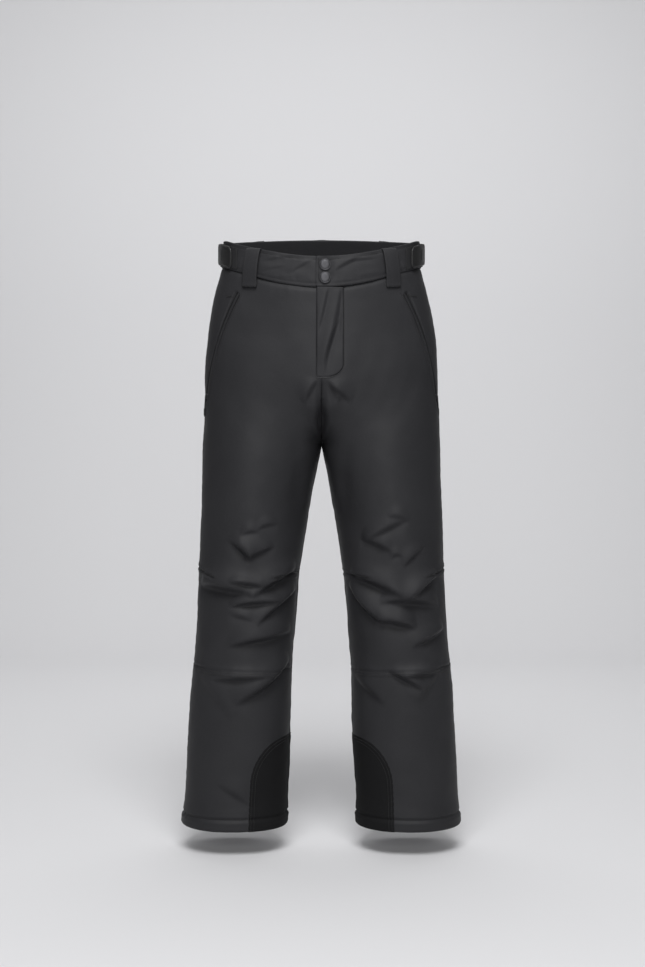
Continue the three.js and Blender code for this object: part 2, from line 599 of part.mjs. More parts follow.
function addPockets() {
  for (const [name] of SIDES) {
    const { matrix, radius, sweep } = pockets.get(name);
    const r = radius - ZIP_DEPTH;
    const span = degrees(sweep);
    const mm = degrees(1 / radius); // one millimetre along the arc
    const rows = [-1, 1].map((way) => {
      const [a, b, c] = [CHAIN_SPLIT, TAPE_HALF, CHAIN_HALF].map((v) => way * v);
      return bend(0, 0, r - 0.4, r + 0.4, -8 * mm, span + 8 * mm, Math.min(a, b), Math.max(a, b))
        .add(bend(0, 0, r - 1.1, r + 1.1, -6 * mm, span + 6 * mm, Math.min(a, c), Math.max(a, c)));
    });
    const ends = [[-8, -5.5], [span / mm + 5.5, span / mm + 8]].map(([from, to]) =>
      bend(0, 0, r - 1.1, r + 1.1, from * mm, to * mm, -CHAIN_HALF, CHAIN_HALF));
    add(`pocket_zip_tape_${name}`, "tape", [...rows, ...ends].reduce((sum, made) => sum.add(made)), matrix);

    const post = CHAIN_SPLIT - SIT / 2;
    const slider = block(r + 1.45, r + 2.4, -4.5, 4.5, -3.9, 3.9)
      .add(block(r - 2.4, r - 1.45, -4.5, 4.5, -3.9, 3.9))
      .add(block(r - 2.3, r + 2.3, -0.5, 4, -post, post));
    add(`pocket_zip_slider_${name}`, "metal", slider, matrix);
    add(`pocket_zip_pull_${name}`, "webbing", block(r + 2.75, r + 5.4, -CORD_L, 2.6, -2.4, 2.4), matrix);
  }
}

function addAdjusters() {
  for (const [name, side] of SIDES) {
    const mirror = new THREE.Matrix4().makeScale(side, 1, 1);
    const x = at(HIP_STATIONS, "a", -BAND_H) - ADJUST_R;
    const wall = (r0, r1, from, to, z0, z1) => bend(x, 0, r0, r1, from, to, z0, z1);
    const flip = (made) => (side > 0 ? made : made.transform(mirror.elements));
    // The waistband leans, so its fittings stand clear of its widest line. Their edges follow its edges.
    const face = ADJUST_R + SIT + 2;
    const along = (made, drop, height) => made.intersect(waistSlice(drop, drop + height));
    const patch = wall(face, face + PATCH_T, TAB_FROM - 4, 20, -90, 10);
    add(`loop_patch_${name}`, "webbing", flip(along(patch, TAB_DROP + 1, TAB_H - 2)));

    const hook = face + PATCH_T + SIT;
    const hooks = wall(hook, hook + PATCH_T, TAB_FROM + 2, TAB_TO - 4, -90, 10);
    add(`hook_patch_${name}`, "webbing", flip(along(hooks, TAB_DROP + 2, TAB_H - 4)));
    const tabFace = hook + STRAP_T + SIT;
    const tab = wall(tabFace, tabFace + TAB_T, TAB_FROM, TAB_TO, -90, 10);
    add(`adjuster_tab_${name}`, "plastic", flip(along(tab, TAB_DROP, TAB_H)));

    const mid = -TAB_DROP - TAB_H / 2;
    const strap = wall(hook, hook + STRAP_T, TAB_TO - 2.5, 38, mid - STRAP_H / 2, mid + STRAP_H / 2);
    add(`adjuster_strap_${name}`, "webbing", flip(strap));
    const casing = wall(face, hook + STRAP_T + SIT + 1.2, 27, 60, mid - STRAP_H / 2 - 4, mid + STRAP_H / 2 + 4)
      .subtract(wall(hook - SIT, hook + STRAP_T + SIT, 20, 59, mid - STRAP_H / 2 - 1, mid + STRAP_H / 2 + 1));
    add(`adjuster_casing_${name}`, "shell", flip(casing));
  }
}

addHips();
addLegs();
addWaistband();
addBeltLoops();
addFly();
addPockets();
addAdjusters();

export default group;
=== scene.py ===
"""Insulated ski pants: shell, linings, waistband, fly, pockets, side adjusters, scuff guards and gaiters.

Every surface is a function of two parameters, worked out in millimetres and put into its mesh in metres.
+Z is up, the wearer faces -Y and the wearer's left is +X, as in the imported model.
"""

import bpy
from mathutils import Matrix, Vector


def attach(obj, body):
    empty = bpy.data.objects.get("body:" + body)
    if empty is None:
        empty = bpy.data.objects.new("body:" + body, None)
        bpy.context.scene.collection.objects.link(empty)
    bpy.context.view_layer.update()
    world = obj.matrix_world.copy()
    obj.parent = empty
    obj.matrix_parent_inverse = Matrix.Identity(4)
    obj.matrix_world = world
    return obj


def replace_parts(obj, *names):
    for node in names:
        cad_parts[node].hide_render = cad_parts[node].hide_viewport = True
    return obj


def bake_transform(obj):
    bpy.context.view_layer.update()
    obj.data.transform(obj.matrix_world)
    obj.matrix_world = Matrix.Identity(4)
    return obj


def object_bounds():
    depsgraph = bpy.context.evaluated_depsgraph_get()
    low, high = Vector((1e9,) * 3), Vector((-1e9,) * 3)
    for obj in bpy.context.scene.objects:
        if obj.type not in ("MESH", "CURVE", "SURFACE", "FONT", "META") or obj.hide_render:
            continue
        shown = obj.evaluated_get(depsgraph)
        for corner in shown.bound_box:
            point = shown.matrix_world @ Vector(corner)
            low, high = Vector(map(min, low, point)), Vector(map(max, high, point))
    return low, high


bl_info = {
    "name": "Insulated Ski Pants",
    "version": (1, 0, 0),
    "blender": (4, 5, 0),
    "location": "3D View > Sidebar > Ski Pants",
    "description": "Builds the cloth, trims and stage of a pair of insulated ski pants round its packed model",
    "category": "Mesh",
}

import math

import bpy
import numpy as np
from bpy.props import FloatProperty, FloatVectorProperty, IntProperty, PointerProperty, StringProperty

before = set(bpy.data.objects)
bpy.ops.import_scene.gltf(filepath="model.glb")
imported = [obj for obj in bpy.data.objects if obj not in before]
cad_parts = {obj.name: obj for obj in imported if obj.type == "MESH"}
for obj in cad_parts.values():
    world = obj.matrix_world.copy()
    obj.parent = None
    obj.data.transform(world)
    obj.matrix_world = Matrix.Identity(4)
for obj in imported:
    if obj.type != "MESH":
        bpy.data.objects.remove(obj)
CAD_BOX = [list(corner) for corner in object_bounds()]
MM = 0.001
SIDES = (("left", 1), ("right", -1))

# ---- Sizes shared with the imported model, in millimetres ------------------------------------------
HEM_Z = CAD_BOX[0][2] / MM
CROTCH_Z = -352.0
FRONT_DIP, WAIST_FRONT = 41.0, 102.5  # the waist falls this much over this depth forwards
BACK_RISE, WAIST_BACK = 23.0, 108.0  # and rises this much over this depth backwards
BAND_H = 44.5
BAND_MORE = 6.5  # the band is this much higher at the front's middle
BAND_Z = -70.0  # height at which the band's columns are spaced
BAND_SPLIT = 111.0  # half width at which the snapped overlap meets the rest of the band
FLY_X, FLY_HALF, FLY_BOTTOM_Z, FLY_LEAN = 14.0, 22.25, -244.0, 0.07
SNAP_SPREAD, SNAP_PROUD = 1.25, 1.7  # the cap's face is wider than its stud's, and stands this far off the band
FLY_SEAM = 1.4  # the fly's stitching lies this far outside its flap
ZIP_X = -4.0  # middle of the fly's zip, in the fly's frame
SNAP_X, SNAP_Z = -8.0, (-55.0, -77.0)
SIDE_X, SIDE_FACE = 95.87, 80.35  # centre and radius of the fittings' side arc
HEM_H = 21.0
# scuff guard: height, height of its straight part, reach from the inseam, thickness of its cloth
GUARD_H, GUARD_FOOT, GUARD_REACH, GUARD_T = 156.0, 80.0, 62.0, 0.9
GUARD_GIRTH = 520.0  # the leg's girth there
GAITER_LOW, GAITER_HIGH = 30.0, 165.0  # the gaiter's lower and upper edge over the hem
ELASTIC_R = 60.0
# height, half width, depth forwards, depth backwards, radius of the rounded sides
HIPS = np.array([
    [-352, 207, 108, 124, 90], [-280, 203, 112, 131, 84], [-220, 203, 115.3, 138, 84],
    [-150, 196, 110.4, 131, 82], [-90, 184.9, 106.2, 120, 80], [-45, 173.9, 103, 112, 78],
    [60, 168.9, 95.7, 101, 78],
], float)
# height, middle across, half width, middle in depth, half depth
LEGS = np.array([
    [-1075, 156, 90.5, 5, 74], [-1015, 153, 90, 8, 76], [-938.4, 149, 89, 12, 78], [-836.2, 143.5, 89, 12, 81],
    [-737.6, 138.5, 86.5, 8, 84], [-650, 131, 86, 3, 87], [-583, 127, 87, 2, 90], [-520, 121, 90, 3, 95],
    [-415, 111, 98, 5, 101], [-352, 104.5, 103.5, 5, 106], [-280, 101.5, 104.5, 7, 106], [-210, 100, 98, 9, 97],
], float)
GIRTH = np.array([[-1015, 520], [-737, 535], [-520, 581], [-352, 640], [-277, 560], [-45, 465]], float)
JOIN_Z = -525.0  # the upper and lower shells meet here, between the hip's bend and the knee's

# Folds of the cloth on the front: the fold's two ends as x and z, its width, its depth and how far it bows up.
FOLDS = {
    1: [
        (68, -520, 114, -538, 22, 3.5, 0), (118, -550, 137, -545, 12, 1.3, 3), (142, -562, 174, -530, 14, 2.2, 0),
        (54, -580, 135, -615, 26, 6, 0), (196, -582, 149, -618, 20, 5, 0), (104, -627, 196, -635, 24, 6, 4),
        (50, -601, 105, -662, 28, 6, -8), (96, -657, 157, -669, 22, 6, 0), (158, -701, 209, -675, 20, 4, 0),
        (115, -743, 168, -772, 15, 4.5, 0), (142, -750, 201, -744, 13, 3.5, 0), (168, -797, 204, -749, 30, 3, 0),
        (59, -761, 103, -800, 30, 2.5, 0), (77, -521, 142, -486, 16, 2.5, 0), (112, -479, 145, -488, 14, 1.6, 3),
        (9, -252, 24, -285, 15, 2.2, 0), (14, -262, 46, -286, 16, 2.2, 0),
    ],
    -1: [
        (150, -524, 122, -553, 18, 3.2, 0), (124, -553, 82, -532, 18, 3, 0), (152, -589, 102, -596, 12, 4, 0),
        (205, -601, 118, -614, 26, 7, 3), (114, -616, 46, -574, 24, 6, 3), (153, -632, 75, -625, 15, 5, 2),
        (104, -660, 46, -611, 22, 5, 3), (156, -645, 118, -655, 14, 1.6, 0), (153, -700, 57, -681, 22, 5, 0),
        (184, -756, 102, -751, 15, 3.5, -3), (138, -797, 58, -733, 30, 6, -6), (178, -938, 126, -972, 20, 1.6, 0),
        (209, -759, 161, -822, 36, 2, 0), (134, -511, 106, -506, 13, 1.5, 3), (106, -500, 76, -494, 13, 1.5, 3),
        (158, -520, 122, -551, 18, 2.4, 0), (6, -252, 24, -288, 16, 2.2, 0),
    ],
}
# Folds of the back, as fractions round the half garment and heights: under the seat and behind the knee.
BACK_FOLDS = [
    (0.97, -338, 0.80, -312, 34, 3.5, 0), (0.96, -372, 0.78, -350, 36, 4, 0),
    (0.93, -410, 0.72, -382, 30, 2.5, 0),
    (0.62, -600, 0.82, -622, 26, 4, 0), (0.92, -612, 0.72, -640, 26, 4.5, 0), (0.60, -655, 0.80, -650, 22, 4, 3),
    (0.94, -668, 0.76, -655, 24, 3.5, 0), (0.64, -700, 0.84, -712, 26, 3, 0),
    (0.88, -760, 0.70, -745, 26, 2.5, 0),
    (0.66, -830, 0.80, -812, 30, 2, 0), (0.85, -150, 0.93, -215, 40, 2.5, 0),
]
BAND_FOLDS = [
    (-98, -47, -19, -36, 7, 1.6, 0), (-53, -70, -12, -47, 9, 1.8, 0), (24, -65, 68, -40, 9, 1.8, 0),
    (44, -50, 91, -43, 7, 1.4, 0), (-93, -63, -63, -58, 8, 1.1, 0), (132, -47, 145, -68, 7, 1.4, 0),
    (-140, -60, -128, -40, 7, 1.3, 0), (60, -78, 100, -68, 8, 1.0, 0), (-100, -80, -50, -76, 7, 0.9, 0),
]
FLAP_FOLDS = [(13, -92, -3, -165, 12, 2.6, -2), (35, -92, 6, -218, 18, 4.2, -6), (32, -150, 9, -236, 15, 3.2, 4)]


def ramp(v):
    """Held between 0 and 1."""
    return np.clip(v, 0, 1)


def bell(v):
    """The bell curve exp of minus v squared."""
    return np.exp(-(v**2))


# ---- The garment's face --------------------------------------------------------------------------
def through(table, z):
    """The table's columns at heights z: cubic Hermite through the rows, with central-difference slopes."""
    zs, rows = table[:, 0], table[:, 1:]
    slopes = np.vstack([
        (rows[1] - rows[0]) / (zs[1] - zs[0]),
        (rows[2:] - rows[:-2]) / (zs[2:] - zs[:-2])[:, None],
        (rows[-1] - rows[-2]) / (zs[-1] - zs[-2]),
    ])
    z = np.asarray(z, float)
    i = np.clip(np.searchsorted(zs, z) - 1, 0, len(zs) - 2)
    h = (zs[i + 1] - zs[i])[..., None]
    t = ramp((z - zs[i])[..., None] / h)
    made = ((2 * t**3 - 3 * t**2 + 1) * rows[i] + (t**3 - 2 * t**2 + t) * h * slopes[i]
            + (3 * t**2 - 2 * t**3) * rows[i + 1] + (t**3 - t**2) * h * slopes[i + 1])
    return np.moveaxis(made, -1, 0)


def waist_line(y):
    """Height of the waistband's top edge: a parabola down to the front, a power of 1.4 up to the back."""
    return np.where(y < 0, -FRONT_DIP * (y / WAIST_FRONT) ** 2, BACK_RISE * (np.abs(y) / WAIST_BACK) ** 1.4)


def hip_arcs(z, front):
    """The hips' four-arc oval at z: side centre and radius, face rise and radius, meeting angle, face length."""
    a, f, k, r = through(HIPS, z)
    d = np.where(front, f, k)
    rise = ((a - r) ** 2 - (d - r) ** 2) / (2 * (d - r))
    big, meet = d + rise, np.arctan2(rise, a - r)
    return a - r, r, rise, big, meet, big * (math.pi / 2 - meet)


def hips(u, z):
    """x and y of the hips' oval by arc length: u is 0 at the front's middle, 0.5 at the side, 1 at the back's."""
    flip = np.where((u < 0) | (u > 1), -1.0, 1.0)
    u = np.abs(u)
    u = np.where(u > 1, 2 - u, u)
    front = u <= 0.5
    side, r, rise, big, meet, length = hip_arcs(z, front)
    s = np.where(front, 2 * u, 2 - 2 * u) * (length + r * meet)
    on_face, phi, theta = s < length, s / big, (s - length) / r - meet
    x = np.where(on_face, big * np.sin(phi), side + r * np.cos(theta))
    y = np.where(on_face, rise - big * np.cos(phi), r * np.sin(theta))
    return flip * x, np.where(front, y, -y)


def legs(u, z):
    """x and y of a leg's ellipse: u is the turn from the inseam, by the front, round to the inseam again."""
    x, a, y, b = through(LEGS, z)
    turn = 2 * math.pi * u - math.pi
    return x + a * np.cos(turn), y + b * np.sin(turn)


def garment(u, z):
    """The half garment's face on the +X side: a leg's ellipse, eased into the hips' oval above the crotch."""
    quick = 1 - (1 - ramp((z - CROTCH_Z) / 75)) ** 2.2
    slow = ramp((z + 440) / 200)
    slow = slow * slow * (3 - 2 * slow)
    middle = np.minimum(np.abs(u), np.abs(1 - u))
    share = slow + (quick - slow) * bell(middle / 0.055)
    hx, hy = hips(u, z)
    lx, ly = legs(u, z)
    return np.stack([lx + (hx - lx) * share, ly + (hy - ly) * share, z + 0 * lx], -1)


def unit(v):
    """Vectors of length one."""
    return v / np.maximum(np.linalg.norm(v, axis=-1, keepdims=True), 1e-9)


def face(side, u, z, h=0.0):
    """Points h outside the garment's face, and its outward normals: the cross of the slopes along u and z."""
    side, u, z, h = np.broadcast_arrays(*(np.asarray(v, float) for v in (side, u, z, h)))
    around = garment(u + 0.001, z) - garment(u - 0.001, z)
    along = garment(u, z + 0.5) - garment(u, z - 0.5)
    n = unit(np.cross(around, along))
    p = garment(u, z) + n * h[..., None]
    middle = np.minimum(np.abs(u), np.abs(1 - u))
    p[..., 0] *= 1 - bell(middle / 0.005) * (z > CROTCH_Z + 0.2) * ramp((-250 - z) / 15)
    turn = np.stack([side, np.ones_like(side), np.ones_like(side)], -1)
    return p * turn, n * turn


def girth(z):
    """Length in millimetres of half the garment's girth at height z."""
    return np.interp(z, GIRTH[:, 0], GIRTH[:, 1])


def u_at_x(x, z):
    """Where on the front half the face is |x| from the middle at height z, for single numbers."""
    us = np.linspace(0, 0.5, 241)
    xs = garment(us, np.full(241, float(z)))[:, 0]
    return float(np.interp(abs(x), xs, us))


def u_front(x, z):
    """The same for whole arrays on the hips' front, where the face is one arc."""
    side, r, rise, big, meet, length = hip_arcs(z, np.ones(np.shape(z), bool))
    s = big * np.arcsin(np.clip(np.abs(x) / big, -1, 1))
    return s / (2 * (length + r * meet))


def u_at_turn(turn, z):
    """Where the hips' outward normal is turned this many degrees from the side: forwards negative."""
    front = turn < 0
    side, r, rise, big, meet, length = (float(v) for v in hip_arcs(float(z), front))
    t = math.radians(abs(turn))
    s = big * (math.pi / 2 - t) if t > meet else length + r * (meet - t)
    s /= 2 * (length + r * meet)
    return s if front else 1 - s


def band_height(u):
    """Height of the band: even at the sides and back, and a parabola up to its highest at the front's middle."""
    return BAND_H + BAND_MORE * ramp(1 - (np.abs(u) / 0.3) ** 2)


def at_waist(u, drop):
    """The height that lies drop under the waistband's top edge, settled by four rounds on the face's depth."""
    z = np.full(np.shape(u), -45.0)
    for _ in range(4):
        z = waist_line(garment(np.asarray(u, float), z)[..., 1]) - drop
    return z


# ---- Relief: folds, seams and puckers ------------------------------------------------------------
def fold(w, z, ends, width, depth, bow):
    """One fold: a soft ridge that hangs over a sharp crease, both dying away to the fold's two ends."""
    (w0, z0), (w1, z1) = ends
    dw, dz = 1.14 * (w1 - w0), 1.14 * (z1 - z0)
    w0, z0 = w0 - 0.0614 * dw, z0 - 0.0614 * dz
    length = math.hypot(dw, dz)
    t = ((w - w0) * dw + (z - z0) * dz) / length**2
    q = ((z - z0) * dw - (w - w0) * dz) / length * (1 if dw >= 0 else -1)
    t = ramp(t)
    past = np.abs(q)
    q = q - bow * 4 * t * (1 - t)
    taper = 4 * t * (1 - t)
    s = q / (width * (0.35 + 0.65 * taper**0.5))
    ridge = bell((s - 0.5) / np.where(s > 0.5, 0.75, 0.36))
    crease = 0.85 * np.where(s > 0, bell(s / 0.24), np.exp(-(np.sqrt(s * s + 0.006) - 0.077) / 0.5))
    return depth * taper**1.1 * (ridge - crease) * (past < 4 * width)


def line_groove(w, z, ends, width, depth):
    """A sewn line: a narrow groove with a soft roll of cloth on both sides, between two ends."""
    (w0, z0), (w1, z1) = ends
    dw, dz = w1 - w0, z1 - z0
    length = math.hypot(dw, dz)
    t = ((w - w0) * dw + (z - z0) * dz) / length**2
    q = ((z - z0) * dw - (w - w0) * dz) / length
    mask = ramp(t * 8 + 0.5) * ramp((1 - t) * 8 + 0.5)
    return mask * depth * (0.45 * bell((np.abs(q) - 2.2 * width) / (1.6 * width)) - bell(q / width))


def groove(d, width, depth):
    """The same groove and roll of cloth, by the distance d from its line."""
    return depth * (0.4 * bell((np.abs(d) - 2.3 * width) / (1.7 * width)) - bell(d / width))


def swell(w, z, seed, low, high, count, size):
    """Slow uneven swelling of padded cloth: a sum of plane waves with seeded directions, lengths and phases."""
    rng = np.random.default_rng(seed)
    made = np.zeros(np.shape(w))
    for _ in range(count):
        turn, long, phase = rng.uniform(0, math.pi), rng.uniform(low, high), rng.uniform(0, 2 * math.pi)
        made += np.sin((w * math.cos(turn) + z * math.sin(turn)) * 2 * math.pi / long + phase)
    return made * size / math.sqrt(count)


def knee_seam(u):
    """Height of the seam under the knee across the front: a little higher at the outseam."""
    return -742.0 + 9.0 * (u / 0.5) ** 2


DARTS = {1: (((175, -580), (208, -566)), ((50, -574), (85, -580))),
         -1: (((177, -581), (208, -564)), ((50, -575), (84, -580)))}


def flap_bottom(x):
    """Lower edge of the fly flap: level at its free edge, then a quarter ellipse up to the stitched edge."""
    t = ramp((x - 8) / (FLY_X + FLY_HALF - 8))
    return FLY_BOTTOM_Z + 24 * (1 - np.sqrt(1 - 0.98 * t**2))


# Turn from the side, in degrees, and height of the pocket zip's top, middle and lower end.
POCKET_POINTS = ((-61, -104), (-40, -187), (-19, -270))


def pocket_frame(side):
    """A pocket's zip is an arc through three points of the face. Gives its centre, axes, radius and sweep."""
    top, mid, end = (face(side, u_at_turn(turn, z), z)[0] for turn, z in POCKET_POINTS)
    chord, foot = top - end, (top + end) / 2
    out = mid - foot
    out = out - chord * (out @ chord) / (chord @ chord)
    sagitta = np.linalg.norm(out)
    radius = (np.linalg.norm(chord) / 2) ** 2 / (2 * sagitta) + sagitta / 2
    centre = foot + out / sagitta * (sagitta - radius)
    x = unit(end - centre)
    across = unit(np.cross(x, chord))
    sweep_by = 2 * math.asin(np.linalg.norm(chord) / 2 / radius)
    return centre, np.array([x, np.cross(across, x), across]), radius, sweep_by


POCKETS = {side: pocket_frame(side) for _, side in SIDES}


def pocket_relief(side, p):
    """The slit that a pocket's zip lies in: a channel along the arc, the front cloth a step above the side's."""
    centre, axes, radius, sweep = POCKETS[side]
    q = (p - centre) @ axes.T
    turn, across = np.arctan2(q[..., 1], q[..., 0]), q[..., 2] * side
    inside = ramp((turn * radius + 12) / 5) * ramp(((sweep - turn) * radius + 9) / 5)
    near = (np.abs(np.hypot(q[..., 0], q[..., 1]) - radius) < 60) * (q[..., 0] > 0)
    channel = -5.5 * np.exp(-((across / 3.9) ** 4))
    front = np.where(across > 0, 1.0, -0.5) * bell(across / 18)
    ends = ramp((turn * radius + 30) / 30) * ramp(((sweep - turn) * radius + 12) / 12)
    return near * (inside * channel + front * ends)


def relief(side, u, z, sewn=True):
    """How far the shell stands off its even face: folds, swelling, seams, pocket slits and the hem's roll."""
    u, z = np.broadcast_arrays(np.asarray(u, float), np.asarray(z, float))
    long = girth(z)
    w = u * long
    h = swell(w, z, 11 + side, 90, 220, 9, 0.8) + swell(w, z, 23 + side, 34, 70, 10, 0.22)
    h += 4.2 * bell((u - 0.27) / 0.075) * ramp((z + 560) / 90) * ramp((-150 - z) / 120)
    h -= 3.6 * bell((u - 0.11 - (z + 420) * 0.00012) / 0.04) * ramp((z + 520) / 70) * ramp((-300 - z) / 60)
    # the valley that leads down to the crotch: narrow under the fly, wider under the seat
    ahead = u < 0.5
    deep = np.where(ahead, ramp((-246 - z) / 40), ramp((-140 - z) / 190))
    deep = deep * ramp((z - CROTCH_Z - 2) / 34) ** 1.5
    wide = np.where(ahead, 6 + 6 * deep, 9 + 13 * deep)
    h -= deep * np.where(ahead, 15.0, 13.0) * bell(np.minimum(u, 1 - u) * long / wide)
    for x0, z0, x1, z1, width, depth, bow in FOLDS[side]:
        u0, u1 = u_at_x(x0, z0), u_at_x(x1, z1)
        mid = girth((z0 + z1) / 2)
        h += fold(u * mid, z, ((u0 * mid, z0), (u1 * mid, z1)), 1.2 * width, 1.75 * depth, bow) * (u < 0.62)
    for u0, z0, u1, z1, width, depth, bow in BACK_FOLDS:
        mid = girth((z0 + z1) / 2)
        lift = 12 * side
        h += fold(u * mid, z, ((u0 * mid, z0 + lift), (u1 * mid, z1 + lift)), width, depth, bow) * (u > 0.45)
    if not sewn:
        return h
    out = (u - 0.5) * long
    in_ = np.minimum(u, 1 - u) * long
    h += groove(out, 1.9, 1.5) * ramp((-60 - z) / 20)
    h += swell(z, 0 * z, 31 + side, 9, 22, 5, 0.22) * bell(out / 8)
    leg = z < CROTCH_Z + 2
    h += leg * (groove(in_, 1.9, 1.6) + swell(z, 0 * z, 41, 9, 24, 5, 0.25) * bell(in_ / 8))
    h += ~leg * groove(in_, 1.6, 1.5) * np.where(u > 0.5, ramp((-62 - z) / 10), ramp((-246 - z) / 6))
    knee = z - knee_seam(np.clip(u, 0, 0.5))
    front = ramp((0.5 - u) * 60)
    h += front * (groove(knee, 1.8, 1.6) + swell(w, 0 * w, 51 + side, 12, 34, 6, 0.22) * bell(knee / 10))
    for (x0, z0), (x1, z1) in DARTS[side]:
        u0 = 0.0 if x0 < 52 else u_at_x(x0, z0)
        u1 = 0.5 if x1 > 200 else u_at_x(x1, z1)
        h += line_groove(w, z, ((u0 * girth(z0), z0), (u1 * girth(z1), z1)), 2.0, 2.6)
    hem = z - (HEM_Z + HEM_H)
    h += groove(hem, 1.8, 1.8) + swell(w, 0 * w, 61 + side, 7, 20, 6, 0.22) * bell(hem / 7)
    h += 2.6 * ramp(-hem / 6) * np.sqrt(ramp((z - HEM_Z + 1) / 5))
    h += 0.8 * bell((hem - 10) / 8)
    top = waist_line(garment(u, z)[..., 1]) - band_height(u) - z
    below = 0.3 * bell((top - 12) / 10) + swell(w, 0 * w, 7 + side, 14, 40, 6, 0.16) * bell((top - 4) / 12)
    h += below * (top > -5)
    h -= 1.6 * bell(top / 3.5)
    base, _ = face(side, u, z)
    h += pocket_relief(side, base) * (z > -320) * (u < 0.56)
    x, y = base[..., 0], base[..., 1]
    free, sewn_x = FLY_X - FLY_HALF + 1.2, FLY_X + FLY_HALF - 1.4
    well = ramp((x - free) / 2.2) * ramp((sewn_x - x) / 2.2)
    well = well * ramp((z - flap_bottom(x) - 2.5) / 3) * (y < 0) * (z > FLY_BOTTOM_Z)
    h = h * (1 - well) - 13.0 * well
    stitched = np.abs(x - (FLY_X + FLY_HALF + FLY_SEAM))
    h += (y < 0) * (z > -226) * (-0.9 * bell(stitched / 1.6))
    return h


# ---- Mesh making ---------------------------------------------------------------------------------
def put_mesh(name, points, faces, uv=None, normals=None):
    """A mesh object from arrays in millimetres: points, quads or triangles, a UV in metres for each point."""
    mesh = bpy.data.meshes.new(name)
    mesh.from_pydata((np.asarray(points) * MM).tolist(), [],
                     [f for part in faces for f in np.asarray(part).tolist()])
    if uv is not None:
        layer = mesh.uv_layers.new(name="cloth")
        index = np.empty(len(mesh.loops), np.int32)
        mesh.loops.foreach_get("vertex_index", index)
        layer.data.foreach_set("uv", (np.asarray(uv) * MM)[index].astype(np.float32).ravel())
    mesh.polygons.foreach_set("use_smooth", np.full(len(mesh.polygons), True))
    if normals is not None:
        mesh.normals_split_custom_set_from_vertices(np.asarray(normals).tolist())
    mesh.update()
    made = bpy.data.objects.new(name, mesh)
    bpy.context.scene.collection.objects.link(made)
    return made


def grid_faces(rows, cols, ring=False, tube=False):
    """Quads of a grid whose points are listed row by row: ring closes each row, tube closes the columns."""
    r, c = np.meshgrid(np.arange(rows if tube else rows - 1), np.arange(cols if ring else cols - 1),
                       indexing="ij")
    r1, c1 = (r + 1) % rows, (c + 1) % cols
    return np.stack([r * cols + c, r * cols + c1, r1 * cols + c1, r1 * cols + c], -1).reshape(-1, 4)


def put_grid(name, p, uv=None, flip=False, normals=None):
    """A grid of points, rows by columns."""
    faces = grid_faces(*p.shape[:2])
    if flip:
        faces = faces[:, ::-1]
    uv = None if uv is None else np.reshape(uv, (-1, 2))
    normals = None if normals is None else np.reshape(normals, (-1, 3))
    return put_mesh(name, p.reshape(-1, 3), [faces], uv, normals)


def tube_parts(p):
    """Rings of points along a path, each a closed outline, with both ends closed by fans to their middles."""
    rows, cols = p.shape[:2]
    points = np.concatenate([p.reshape(-1, 3), p[0].mean(0)[None], p[-1].mean(0)[None]])
    quads = grid_faces(rows, cols, ring=True)
    i = np.arange(cols)
    j = (i + 1) % cols
    first = np.stack([np.full(cols, rows * cols), j, i], -1)
    last = np.stack([np.full(cols, rows * cols + 1), (rows - 1) * cols + i, (rows - 1) * cols + j], -1)
    return points, [quads, first, last]


def outward(points, faces):
    """Turns every face over if the closed shape's signed volume is negative."""
    total = 0.0
    for f in faces:
        for k in range(1, f.shape[1] - 1):
            a, b, c = points[f[:, 0]], points[f[:, k]], points[f[:, k + 1]]
            total += float((a * np.cross(b, c)).sum())
    return faces if total > 0 else [f[:, ::-1] for f in faces]


def put_tubes(name, tubes, uvs=None):
    """One object of several closed tubes."""
    points, faces, count = [], [], 0
    for p in tubes:
        q, f = tube_parts(np.asarray(p, float))
        faces += [g + count for g in outward(q, f)]
        points.append(q)
        count += len(q)
    uv = None
    if uvs is not None:
        uv = np.concatenate([np.concatenate([np.reshape(t, (-1, 2)), np.mean(np.reshape(t[0], (-1, 2)), 0)[None],
                                             np.mean(np.reshape(t[-1], (-1, 2)), 0)[None]]) for t in uvs])
    return put_mesh(name, np.concatenate(points), faces, uv)


def smooth_path(knots, count):
    """A curve through the knots, Catmull-Rom with even steps between knots, as count points."""
    k = np.asarray(knots, float)
    k = np.vstack([2 * k[0] - k[1], k, 2 * k[-1] - k[-2]])
    t = np.linspace(0, len(k) - 3 - 1e-9, count)
    i = t.astype(int)
    f = (t - i)[:, None]
    a, b, c, d = k[i], k[i + 1], k[i + 2], k[i + 3]
    return 0.5 * (2 * b + (c - a) * f + (2 * a - 5 * b + 4 * c - d) * f**2 + (3 * b - a - 3 * c + d) * f**3)


def even(path, step):
    """The path's points again, evenly spaced about step apart, with their distances along it."""
    length = np.concatenate([[0], np.cumsum(np.linalg.norm(np.diff(path, axis=0), axis=1))])
    count = max(2, int(round(length[-1] / step)) + 1)
    at = np.linspace(0, length[-1], count)
    return np.stack([np.interp(at, length, path[:, k]) for k in range(path.shape[1])], -1), at


def sweep(path, across, outline):
    """Rings for a path: the outline's first number goes along across, its second along the path's own normal."""
    path = np.asarray(path, float)
    along = unit(np.gradient(path, axis=0))
    across = unit(np.broadcast_to(across, path.shape)
                  - along * (np.broadcast_to(across, path.shape) * along).sum(-1, keepdims=True))
    out = np.cross(across, along)
    o = np.asarray(outline, float)
    return path[:, None] + across[:, None] * o[None, :, :1] + out[:, None] * o[None, :, 1:]


def strap_outline(width, thick, count=6):
    """Outline of a strap's section: flat faces with round edges."""
    r = thick / 2
    t = np.linspace(-math.pi / 2, math.pi / 2, count)
    right = np.stack([width / 2 - r + r * np.cos(t), r * np.sin(t)], -1)
    top = np.stack([np.linspace(width / 2 - r, -width / 2 + r, 9)[1:-1], np.full(7, r)], -1)
    left = -right
    return np.vstack([right, top, left, -top])


